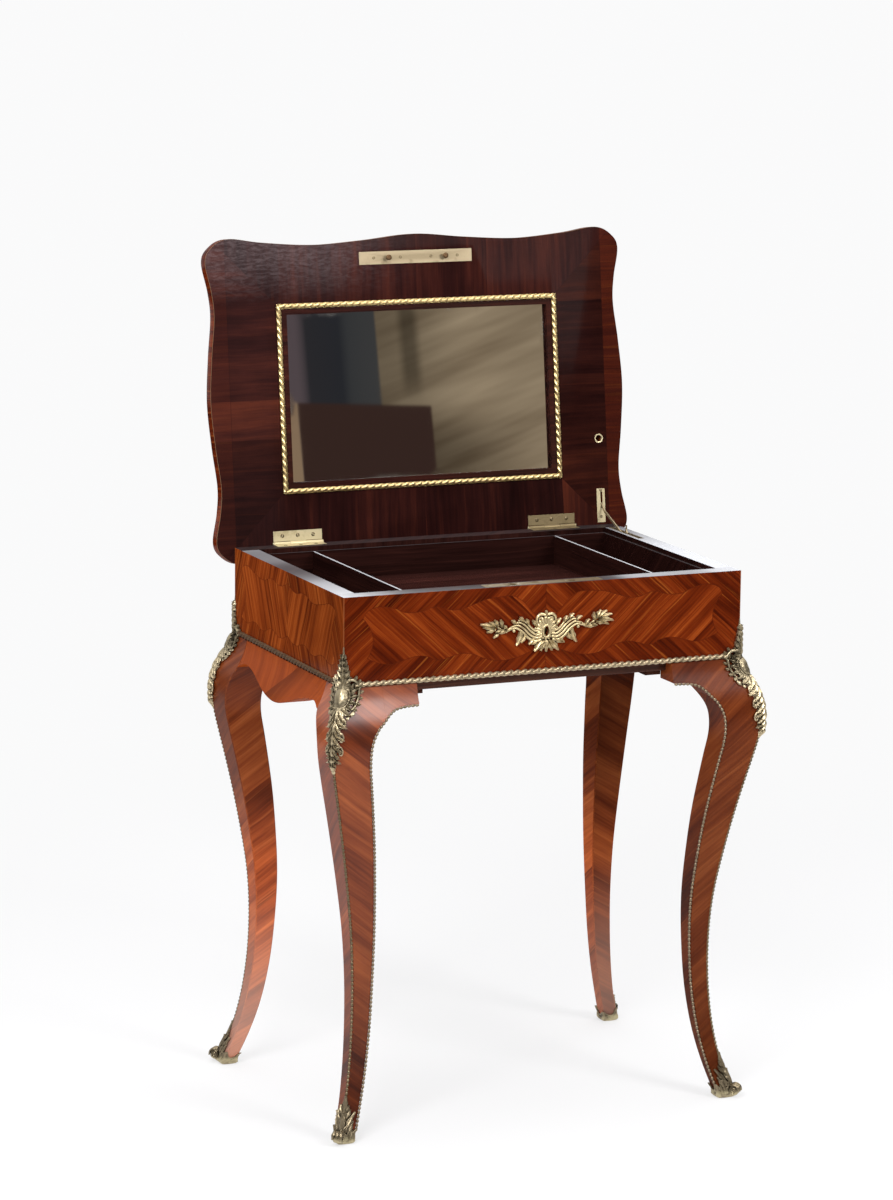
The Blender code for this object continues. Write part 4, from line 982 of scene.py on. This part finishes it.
# Shoe: heights of the edge at the corners and between them, section (share of the height, overhang),
# toe scroll (place on the axle, radius), and side leaves in millimetres
PEAKS = (0.02, 0.028, 0.02, 0.016)
DIPS = (0.013, 0.013, 0.01, 0.01)
CUFF = ((0.0, -0.0016), (0.04, 0.0004), (0.16, 0.0022), (0.36, 0.0021), (0.6, 0.0013), (0.84, 0.0017),
        (0.96, 0.0027), (1.0, 0.0025), (0.97, 0.0012), (0.86, -0.0008))
TOE = ((-0.0058, 0.0048), (-0.0055, 0.0062), (-0.0042, 0.0068), (0.0, 0.0071), (0.0042, 0.0068),
       (0.0055, 0.0062), (0.0058, 0.0048))
SHOE_LEAVES = ((5, 16, 14, 26, 9, 4, -20), (10, 11, 8, 19, 8, 3.4, -14), (3, 32, 34, 13, 6.4, 4.8, 24),
               (2, 40, 30, 10, 5.2, 4.4, 24), (15, 6, 0, 12.5, 7.5, 2.8, 0), (7, 24, 40, 12, 6.6, 4.6, 30))
VOLUTE = ((3, 20), (7.5, 24.5), (12, 22.5), (13, 17.5), (10, 15), (8, 17.5))
SIDE_STEPS = 7


def shoe_outline(outer, inner, radius):
    """Rounded square round a foot, as (corner number plus share of the next side, p, q)."""
    far = outer - radius
    near = radius - inner
    centres = ((far, near), (far, far), (near, far), (near, near))
    points = []
    for k, (cp, cq) in enumerate(centres):
        for j in range(4):
            angle = math.radians(90 * k - 90 + 30 * j)
            points.append((float(k), cp + radius * math.cos(angle), cq + radius * math.sin(angle)))
        end_p, end_q = points[-1][1:]
        next_p, next_q = centres[(k + 1) % 4]
        step_p = next_p + radius * math.cos(math.radians(90 * k)) - end_p
        step_q = next_q + radius * math.sin(math.radians(90 * k)) - end_q
        for j in range(1, SIDE_STEPS + 1):
            share = j / (SIDE_STEPS + 1)
            points.append((k + share, end_p + step_p * share, end_q + step_q * share))
    return points


def cuff_height(place):
    """Edge of the shoe: peaks at the corners and dips along the sides."""
    k = int(place)
    share = place - k
    near = max(0.0, 1 - share / 0.42) ** 1.7
    far = max(0.0, 1 - (1 - share) / 0.42) ** 1.7
    return DIPS[k] + (PEAKS[k] - DIPS[k]) * near + (PEAKS[(k + 1) % 4] - DIPS[k]) * far


def make_sabot(corner):
    """Cast shoe: a low peaked cuff, a scrolled toe, and a leafy tongue up the arris."""
    leg = LEGS[corner]
    build = Build()
    rings = []
    places = [place for place, p, q in shoe_outline(0.01, 0.01, 0.002)]
    for share, grow in CUFF:
        ring = []
        for i, place in enumerate(places):
            z = share * cuff_height(place)
            level = max(z, leg.z[0])
            p, q = shoe_outline(leg.out(level) + grow, leg.inn(level) + grow, 0.0026)[i][1:]
            toe = 0.0055 * math.exp(-((place - 1) / 0.17) ** 2) * math.sin(math.pi * min(1.0, z / 0.022))
            ring.append(leg.world(p + toe, q + toe, z))
        rings.append(ring)
    build.rings(rings)
    ahead = Vector((leg.sx, leg.sy, 0.0)).normalized()
    axle = Vector((leg.sx, -leg.sy, 0.0)).normalized()
    reach = leg.out(0.0105)
    hub = Vector(leg.world(reach, reach, 0.0108)) + ahead * 0.0044

    def about(w, radius, turn):
        return hub + axle * w + ahead * (radius * math.cos(turn)) + UP * (radius * math.sin(turn))

    build.rings([[about(w, radius, k * math.pi / 12) for k in range(24)] for w, radius in TOE])
    for face in SIDES:
        coil = [about(face * (0.0052 + 0.0012 * t), 0.0062 - 0.0048 * t, 0.6 + 3.6 * math.pi * t)
                for t in np.arange(40) / 39]
        twisted(build, coil, [axle] * len(coil), 0.001, 0.004, 0.0, 1, 6, 6)
    on = corner_surface(build, leg).raised(0.8)
    toe = Surface(build, lambda a, b, h: about(a * MM, (6.9 + h) * MM, math.pi / 2 - b / 7.1))
    for a, turn in ((0, 90), (-3.5, 98), (3.5, 82)):
        leaf(toe, (a, -6), turn, 18.5, 6.2, 2.8, 0.2, 3)
    leaf(on, (0, 20), 90, 41, 12, 4.2, 0.2, 4)
    leaf(on, (0, 18), 90, 22, 10, 6.6, 0.4, 3)
    for z in (40, 45.5, 51, 56):
        bead(on, 0, z, 2.4)
    for side in SIDES:
        for a, b, turn, size, wide, tall, bend in SHOE_LEAVES:
            leaf(on, (side * a, b), 90 - side * turn, size, wide, tall, 0.4, 2, side * bend)
        scroll(on, mirrored(VOLUTE, side), 2.3, 1.3)
        bead(on, side * 10.5, 18.5, 1.7)
    build.make("leafy_sabot_" + corner, SHOE_GILT, ["sabot_" + corner])


def make_rail():
    """Rail under the front, eased below and carried back to the drawer runners."""
    low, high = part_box("front_rail")
    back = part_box("drawer_runner_left")[0].y - 0.0001
    section = [(low.y, high.z), (back, high.z), (back, low.z), (low.y + 0.003, low.z),
               (low.y + 0.0012, low.z + 0.0006), (low.y + 0.0004, low.z + 0.0016), (low.y, low.z + 0.0032)]
    build = Build()
    build.rings([[(x, y, z) for y, z in section] for x in np.linspace(low.x, high.x, 9)])
    build.make("eased_front_rail", plain_wood("rail_wood", CARCASS, False, 4.4, 0.45, 0.2), ["front_rail"],
               40)


def make_moulding(side, out, gilt):
    """Ribbon along the foot of one side of the case."""
    proud = 0.0012
    short = 0.015
    middle = Vector((out[0] * (HALF_W + proud), MID_Y + out[1] * (HALF_D + proud), BASE_Z + 0.00375))
    half = Vector((abs(out[1]) * (HALF_W - short), abs(out[0]) * (HALF_D - short), 0.0))
    path = [middle + half * share for share in np.linspace(-1, 1, 41)]
    build = Build()
    twisted(build, path, [out] * len(path), 0.0038, 0.01, 0.55, 2, 16, 14, flat=1.05)
    name = "base_moulding_" + side
    build.make("ribbon_" + name, gilt, [name])


# Escutcheon in millimetres: shell (share of the way out, height, flute depth), wings and stems (a, b),
# leaves (a, b, turn, size, width, bend), and beads (a, b, radius)
SHELL_SECTION = ((0, -0.2, 0), (0, 3, 0), (0.18, 3.2, 0.1), (0.45, 2.6, 0.6), (0.8, 3.4, 1), (0.96, 2.6, 1),
                 (1, 1, 1), (0.98, -0.2, 1))
RIDGES = (((8, -12), (17, -13), (26, -8), (34, 0), (43, 5.5), (52, 4), (60, 1)),
          ((7, -8), (15, -9), (24, -4), (32, 4), (41, 9), (50, 7)),
          ((7, -4), (14, -5), (22, 0), (30, 8), (38, 12.5), (46, 11)),
          ((8, 1.5), (15, 0), (21.5, 4.5), (28, 11.5), (35, 15.8), (40, 14.5)))
STEMS = ((2.4, ((2, 20.5), (8, 21.5), (12.8, 17.5), (13, 11.5), (9, 8), (5.8, 10.5), (7.4, 13))),
         (1.6, ((4, 14), (6, 17), (9.5, 16), (10, 12.5))),
         (2.3, ((50, 6), (58, 2.5), (66, 6), (72, 11), (78, 14))))
SPRAYS = ((36, 1, -84, 20, 9, 32), (30, -4, -70, 12, 7, 30), (7, -13, -60, 17, 9.5, 14),
          (11, -11, -36, 13, 7.5, 18), (5, -14, -82, 13, 7.5, 10), (18, -9, -62, 11, 7, 30),
          (33, 13, 66, 9, 6.5, -40), (26, 9, 84, 9, 6, -40), (14, 6, 66, 11, 6.5, -30),
          (43, 11, 50, 9, 6, -40), (55, 3, -12, 16, 6.5, 18), (56, 4, 62, 9, 5.5, -30),
          (64, 6, -40, 10, 5.5, 36))
TIPS = {1: ((70, 9, 112, 11, 6.5, -30), (73, 11, 78, 12, 7, -30), (75, 12, 48, 14, 7.5, -24),
            (77, 12, 20, 17, 7.5, -16), (77, 11, -8, 19, 7.5, -8), (76, 10, -34, 15, 7, 10),
            (71, 7, -22, 12, 6, 20)),
        -1: ((64, 8, 96, 11, 6.5, -30), (69, 9, 74, 11, 6.5, -30), (72, 9, 44, 12, 7, -24),
             (74, 9, 16, 21, 7.5, -8), (74, 8, 2, 17, 7, 10), (72, 7, -24, 14, 6.5, 14),
             (67, 3, -58, 12, 6, 30))}
WING_BEADS = ((31, -9, 2.4), (46, 2, 2.2), (60, 5, 2), (15, 3, 2))


def make_escutcheon():
    """Openwork rococo mount: shell cartouche round the keyhole, feathered wings and leafy tips."""
    centre_z = RIM_Z - 0.061
    face = front_low.y - 0.0003
    build = Build()
    on = Surface(build, lambda a, b, h: (a * MM, face - h * MM, centre_z + b * MM))
    collar(on, (0, -1, 3.4, 6.4), (0, 3, 15, 16), SHELL_SECTION, 17)
    ring_mount(on, 0, -1, 5, 8, 1.6, 1.4)
    leaf(on, (0, 19.5), 90, 6.8, 5.8, 4.8, 0.3, 1)
    bead(on, 0, 20, 2.6)
    for turn, size in ((270, 13), (240, 13), (300, 13), (212, 10), (328, 10)):
        start = (3 * math.cos(math.radians(turn)), -12 + 3 * math.sin(math.radians(turn)))
        leaf(on, start, turn, size, 7.5, 5.2, 0.4, 2)
    bead(on, 0, -16.5, 4.2)
    for side in SIDES:
        for row, line in enumerate(RIDGES):
            scroll(on, mirrored(line, side), 2.7 - 0.2 * row, 1.4)
        for thick, line in STEMS:
            scroll(on, mirrored(line, side), thick, 1.2)
        for a, b, turn, size, wide, bend in SPRAYS + TIPS[side]:
            leaf(on, (side * a, b), heading(turn, side), size, wide, 4.8, 0.5, 2, side * bend)
        for a, b, radius in WING_BEADS:
            bead(on, side * a, b, radius)
    build.make("chased_escutcheon", PLATE_GILT, ["escutcheon"])


def lid_outline(steps):
    """Serpentine outline of the lid as (x, y) in its own frame."""
    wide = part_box("lid_board")[1].x
    front = 0.416
    back = -0.0245
    wave = 0.0105
    middle = (front + back) / 2
    quarter = (front - back) / 2
    half = [(share * wide, front - dip * wave) for share, dip in (
        (0.0, 0.1), (0.24, 0.7), (0.49, 1.1), (0.73, 0.6), (0.89, 0.0), (0.97, 1.1))]
    half += [(wide - dip * wave, middle + share * quarter) for dip, share in (
        (0.0, 0.86), (0.7, 0.68), (0.95, 0.52), (0.4, 0.28), (0.0, 0.0))]
    right = half + [(x, 2 * middle - v) for x, v in half[-2::-1]]
    loop = [np.array(p) for p in right + [(-x, v) for x, v in right[-2:0:-1]]]
    count = len(loop)
    points = [between(*(loop[(i + k) % count] for k in (-1, 0, 1, 2)), t)
              for i in range(count) for t in np.arange(steps) / steps]
    return np.array(points) * (1, -1)


def cut(target, outline, depth):
    """Cut a prism, given in the lid's own frame, out of its underside."""
    tool = Build()
    tool.rings([to_lid([(x, y, w) for x, y in outline]) for w in (-0.02, depth)])
    cutter = new_object("cutter", tool.verts, tool.faces)
    change = target.modifiers.new("cut", "BOOLEAN")
    change.operation = "DIFFERENCE"
    change.solver = "EXACT"
    change.object = cutter
    bpy.context.view_layer.update()
    mesh = bpy.data.meshes.new_from_object(target.evaluated_get(bpy.context.evaluated_depsgraph_get()))
    target.modifiers.clear()
    target.data = mesh
    bpy.data.objects.remove(cutter, do_unlink=True)


def box(x0, y0, x1, y1):
    return ((x0, y0), (x1, y0), (x1, y1), (x0, y1))


def make_lid():
    outline = lid_outline(8)
    follow = unit(np.roll(outline, -1, axis=0) - np.roll(outline, 1, axis=0))
    inward = np.stack([-follow[:, 1], follow[:, 0]], axis=1)
    section = ((0.0012, 0.0003), (0.0003, 0.0007), (0.0, 0.0016), (0.0, 0.0165), (0.0006, 0.0185),
               (0.0018, 0.0198), (0.0035, LID_T))
    build = Build()
    build.rings([to_lid([(x, y, w) for x, y in outline + inward * inset]) for inset, w in section])
    lid = build.make("veneered_lid", lid_material(), ["lid_board"], 0, "lid")
    mirror_bed = box(-0.2017, -0.3187, 0.2017, -0.0747)
    lock_bed = box(-0.0843, -0.39255, 0.0843, -0.37445)
    stay_bed = box(0.2615, -0.0498, 0.2745, -0.0017)
    stay_slot = box(0.2675, -0.045, 0.2707, -0.0225)
    socket = [(STAY_X + 0.005 * c, 0.005 * s - SOCKET_V) for c, s in circle(24)]
    cut(lid, mirror_bed, 0.0093)
    cut(lid, lock_bed, 0.0024)
    for x in (-HINGE_X, HINGE_X):
        barrel_bed = box(x - 0.0371, -0.0036, x + 0.0371, 0.0036)
        leaf_bed = box(x - 0.0358, -0.0178, x + 0.0358, 0.0)
        cut(lid, barrel_bed, 0.0039)
        cut(lid, leaf_bed, 0.0021)
    cut(lid, stay_bed, 0.0021)
    cut(lid, stay_slot, 0.0083)
    cut(lid, socket, 0.0143)
    smooth_shade(lid, 28)


def make_mirror():
    """Bevelled glass, and a gilt leaf-and-ribbon border."""
    wide = 0.2013
    tall = 0.1218
    glass = Build()
    rings = []
    for inset, w in ((0.0, 0.0088), (0.0, 0.0068), (0.007, 0.0063)):
        edge = box(inset - wide, inset - tall, wide - inset, tall - inset)
        rings.append(to_lid([(x, y - MIRROR_V, w) for x, y in edge]))
    glass.rings(rings)
    glass.make("bevelled_mirror", mirror_material(), ["mirror_glass"], 0, "lid")
    corners = [Vector((x, y - MIRROR_V, 0.0)) for x, y in box(-0.2055, -0.12575, 0.2055, 0.12575)]
    thick = 0.0012
    half = 0.0033
    border = Build()
    for start, end in zip(corners, corners[1:] + corners[:1]):
        path = to_lid([start.lerp(end, i / 20) - UP * thick for i in range(21)])
        twisted(border, path, [LID_DOWN] * len(path), 0.0038, 0.01, 0.5, 2, 16, 14, flat=0.75)
        step = (end - start).normalized()
        side = UP.cross(step)
        strip = ((-half, 0.0), (-half, thick), (half, thick), (half, 0.0))
        border.rings([to_lid([base + side * a - UP * h for a, h in strip])
                      for base in (start - step * half, end + step * half)])
    border.make("ribbon_mirror_border", BORDER_GILT, ["mirror_border"], body="lid")


def screw(build, centre, normal, radius, turn):
    """Slotted flat screw head, slightly proud, set at an angle."""
    normal = Vector(normal).normalized()
    first = normal.orthogonal().normalized()
    ax = first * math.cos(turn) + normal.cross(first) * math.sin(turn)
    ay = normal.cross(ax)
    slot = 0.16 * radius
    start = math.asin(slot / radius)
    for side in SIDES:
        edge = []
        for k in range(13):
            angle = start + (math.pi - 2 * start) * k / 12
            edge.append((radius * math.cos(angle), radius * math.sin(angle)))
        build.rings([[Vector(centre) + ax * (x * shrink) + ay * (max(y * shrink, slot) * side) + normal * h
                      for x, y in edge] for shrink, h in ((1.0, -0.0004), (1.0, 0.00005), (0.9, 0.0002))])


HINGE_SCREW = 0.0028
LOCK_SCREW = 0.0022
STAY_SCREW = 0.002
HINGE_ROW = 0.0108
LOCK_ROW = 0.3835
SCREW_TURNS = (0.3, 1.1, 2.0, 0.8, 1.7, 2.6, 0.1, 1.4, 2.2, 0.6, 1.9, 2.9, 0.4)
SOCKET_SECTION = ((0.0046, 0.0035), (0.0046, 0.0003), (0.0053, -0.0001), (0.0063, 0.0), (0.0066, 0.0004))


def make_screws():
    in_lid = Build()
    in_case = Build()

    def lid_screw(x, v, radius, number):
        screw(in_lid, LID_FRAME @ Vector((x, -v, 0.0003)), LID_DOWN, radius, SCREW_TURNS[number])

    def case_screw(x, y, radius, number):
        screw(in_case, (x, y, RIM_Z), UP, radius, SCREW_TURNS[number])

    for side in SIDES:
        right = side > 0
        for i, off in enumerate((-0.0225, 0.0, 0.0225)):
            x = side * HINGE_X + off
            lid_screw(x, HINGE_ROW, HINGE_SCREW, i + 3 * right)
            case_screw(x, HINGE.y - HINGE_ROW, HINGE_SCREW, 6 + i + 3 * right)
        for i, x in enumerate((0.0228, 0.0623)):
            lid_screw(side * x, LOCK_ROW, LOCK_SCREW, i + 2 * right)
            case_screw(side * (x + 0.012), front_low.y + 0.0125, LOCK_SCREW, 4 + i)
    for i, v in enumerate((0.01, 0.047)):
        lid_screw(STAY_X, v, STAY_SCREW, 8 + i)
    in_lid.make("lid_screws", DARK_IRON, (), 30, "lid")
    in_case.make("case_screws", DARK_IRON, (), 30)
    ring = Build()
    ring.rings([to_lid([(STAY_X + r * c, r * s - SOCKET_V, w) for r, w in SOCKET_SECTION])
                for c, s in circle(28)], closed=True)
    ring.make("socket_ring", BRASS, (), 40, "lid")


for corner in CORNERS:
    make_leg(corner)
    make_knee_mount(corner)
    make_trim(corner)
    make_sabot(corner)
for side in ("left", "right"):
    make_ear(side)
    make_inner_trim(side)
for side, out, gilt in (("front", (0, -1, 0), ROPE_GILT), ("back", (0, 1, 0), SHADED_SIDE_GILT),
                        ("left", (-1, 0, 0), SHADED_SIDE_GILT), ("right", (1, 0, 0), SHADED_SIDE_GILT)):
    make_moulding(side, out, gilt)
for side, first, second, use_y, seed in (("left", "front_left", "rear_left", True, 2.5),
                                         ("right", "front_right", "rear_right", True, 6.4),
                                         ("back", "rear_left", "rear_right", False, 5.5)):
    make_apron("apron_" + side, first, second, apron_material(side + "_apron_veneer", use_y, seed))
make_rail()
make_escutcheon()
make_lid()
make_mirror()
make_screws()

# Materials of the frame's own nodes; brass where none is named
tray_side = plain_wood("tray_side", TRAYWOOD, True, 5.2, 0.35, 0.2, 0.5)
carcass_side = plain_wood("carcass_side", CARCASS, True, 3.9, 0.6)
PAINT = ((case_material(), "case_front case_back case_left case_right apron_left apron_right apron_back"),
         (plain_wood("tray_wood", TRAYWOOD, False, 2.2, 0.35, 0.2, 0.04), "tray_frame"),
         (plain_wood("tray_base", LIT_TRAYWOOD, False, 2.2, 0.35, 0.2), "tray_floor"),
         (tray_side, "tray_partition_left tray_partition_right"),
         (plain_wood("carcass_wood", CARCASS, False, 1.2, 0.6), "case_bottom front_rail"),
         (carcass_side, "drawer_runner_left drawer_runner_right tray_bearer_left tray_bearer_right"),
         (plain_wood("slip_wood", ROSEWOOD, False, 6.1, 0.3, 0.6), "mirror_slip"),
         (RIM_BRASS, "lock_selvage lock_bolt stay_track"), (STAY_BRASS, "stay_arm stay_slider"),
         (STUD_BRASS, "strike_plate"), (DULL_BRASS, "hinge_right_lid_leaf hinge_right_case_leaf"))
paint = {name: material for material, names in PAINT for name in names.split()}
paint.update({"leg_" + corner: LEG_VENEER[corner] for corner in CORNERS})
paint.update({"front_ear_" + side: LEG_VENEER["front_" + side] for side in ("left", "right")})
for name, node in NODES.items():
    node.data.materials.clear()
    node.data.materials.append(paint.get(name, BRASS))

# Camera fitted to the photograph
FOCAL_PIXELS = 4332.0
FRAME_PIXELS = 1200.0
yaw, pitch, roll = (math.radians(a) for a in (23.516, 10.663, 0.58))
ahead = Vector((math.sin(yaw) * math.cos(pitch), math.cos(yaw) * math.cos(pitch), -math.sin(pitch)))
level = ahead.cross(UP).normalized()
upright = level.cross(ahead)
right = level * math.cos(roll) + upright * math.sin(roll)
up = upright * math.cos(roll) - level * math.sin(roll)
eye = Vector((-2.3268, -5.2186 + MID_Y, 1.7442))
camera_data = bpy.data.cameras.new("camera")
camera_data.sensor_fit = "VERTICAL"
camera_data.sensor_height = 36.0
camera_data.lens = FOCAL_PIXELS * 36.0 / FRAME_PIXELS
camera = add_to_scene("camera", camera_data)
camera.matrix_world = Matrix((right, up, -ahead)).transposed().to_4x4()
camera.location = eye
SCENE.camera = camera
LAMP_AIM = Vector((0, 0, 0.6))


def lamp(name, place, size, power):
    data = bpy.data.lights.new(name, "AREA")
    data.shape = "RECTANGLE"
    data.size, data.size_y = size
    data.energy = power
    obj = add_to_scene(name, data)
    obj.location = place
    obj.rotation_euler = (LAMP_AIM - Vector(place)).to_track_quat("-Z", "Y").to_euler()


lamp("key", (-1.9, -2.0, 2.9), (1.5, 1.5), 85)
lamp("fill", (1.18, -2.44, 2.25), (0.9, 1.2), 46)
lamp("top", (0.2, 0.4, 3.6), (2.8, 2.8), 60)

# Pale floor that keeps the shadow and is clear from below, and a white surround
FLOOR_HALF = 80
floor = new_object("floor", [(x, y, 0) for x, y in box(-FLOOR_HALF, -FLOOR_HALF, FLOOR_HALF, FLOOR_HALF)],
                   [(0, 1, 2, 3)], closed=False)
f = Shade("floor_paper", 0.9)
f.set("Base Color", (0.86, 0.86, 0.87))
glow = f.node("ShaderNodeEmission", {"Color": (0.957, 0.957, 0.96), "Strength": 1.0})
fx, fy = f.place()[:2]
away = (fx * fx + fy * fy) ** 0.5
cover = f.step(away, 0.6, 2.2) * 0.36 + 0.64
paper = f.node("ShaderNodeMixShader", {0: f.seen() * cover, 1: Value(f, f.out.outputs[0]), 2: glow})
below = f.node("ShaderNodeNewGeometry", (), "Backfacing")
sheet = f.node("ShaderNodeMixShader", {0: below, 1: paper, 2: f.node("ShaderNodeBsdfTransparent")})
floor.data.materials.append(f.show(sheet))

SCENE.world = bpy.data.worlds.new("surround")
SCENE.world.use_nodes = True
surround = Tree(SCENE.world.node_tree)
sky = surround.tree.nodes["Background"].inputs
surround.feed(sky["Strength"], surround.pick(surround.seen(), 0.55, 1.0))
surround.feed(sky["Color"], (0.96, 0.96, 0.963))

# Dim room in front of the table, which only the mirror, the varnish and the metal see
WALL_AWAY = 2.6
glass_centre = LID_FRAME @ Vector((0.0, -MIRROR_V, 0.006))
bounce = (glass_centre - eye).normalized().reflect(LID_DOWN)
wall_centre = glass_centre + bounce * WALL_AWAY
wall_side = bounce.cross(UP).normalized()
wall_up = wall_side.cross(bounce)


def room_card(name, points, faces, colours):
    m = Shade(name, 1.0)
    card = new_object(name, points, faces, closed=False)
    card.visible_camera = False
    card.visible_diffuse = False
    card.visible_shadow = False
    card.data.materials.append(m.show(m.node("ShaderNodeEmission", {"Color": colours(m), "Strength": 1.0})))


def wall_colours(m):
    """Tan cloth with a dark doorway and a chair back, as the glass shows them."""
    spot = m.node("ShaderNodeTexCoord", (), "Object")
    local = m.node("ShaderNodeVectorMath", {0: spot, 1: wall_centre}, operation="SUBTRACT")
    a, b = (m.node("ShaderNodeVectorMath", {0: local, 1: way}, "Value", operation="DOT_PRODUCT")
            for way in (wall_side, wall_up))
    fold = m.noise(a * 2.5 + b * 3.0, b * 13.0 + a * 3.5, 0.0, 3.0, 0.6)
    tan = m.ramp(fold, ((0.3, (0.165, 0.116, 0.072)), (0.7, (0.4, 0.31, 0.208))))
    post = m.step(abs(a - 0.0115), 0.028, 0.006) * m.step(b, -0.03, 0.05)
    low = m.step(b, -0.02, -0.12) * m.step(a, -0.24, -0.06)
    tone = (1.0 - m.step(a, -0.13, 0.08) * 0.47) * (1.0 - post * 0.52) * (1.0 - low * 0.42)
    dim = m.ramp(m.step(a, 0.08, 0.24), ((0.0, (0.047, 0.047, 0.049)), (0.25, (0.04, 0.041, 0.044)),
                                         (0.4, (0.023, 0.024, 0.029)), (0.93, (0.026, 0.025, 0.029)),
                                         (1.0, (0.095, 0.072, 0.08))))
    shade = m.blend(m.step(a, 0.0725, 0.0785), m.scale(tan, tone), dim)
    under = m.step(b - a * 0.107, -0.022, -0.03)
    shade = m.blend(under * m.step(a, 0.239, 0.244), shade, (0.27, 0.18, 0.112))
    chair = under * (m.step(a, -0.0245, -0.0185) * m.step(a, 0.244, 0.239))
    shade = m.blend(chair, shade, (0.042, 0.022, 0.018))
    outside = m.most(abs(a) - 0.32, abs(b) - 0.22)
    shade = m.blend(m.step(outside, 0.0, 0.1), shade, (0.034, 0.028, 0.026))
    return m.blend(m.step(a, 0.12, 0.5) * m.step(b, 0.16, 0.42), shade, (0.55, 0.51, 0.54))


def dim_colours(m):
    x, y, z = m.place()
    cloud = m.noise(x * 0.9, y * 0.9, z * 0.9)
    return m.ramp(cloud, ((0.3, (0.018, 0.016, 0.016)), (0.7, (0.06, 0.052, 0.046))))


room_card("mirror_wall", [wall_centre + wall_side * a + wall_up * b for a, b in box(-1.3, -0.45, 0.6, 0.46)],
          [(0, 1, 2, 3)], wall_colours)
ROOM_RADIUS = 3.0
ring = []
for degrees in range(0, 361, 10):
    c = math.cos(math.radians(degrees))
    s = math.sin(math.radians(degrees))
    for z in (0.004, 2.1 if s < 0.25 else 0.55):
        ring.append((ROOM_RADIUS * c, ROOM_RADIUS * s, z))
room_card("dim_room", ring, [(i, i + 2, i + 3, i + 1) for i in range(0, 72, 2)], dim_colours)

SCENE.view_settings.view_transform = "Standard"
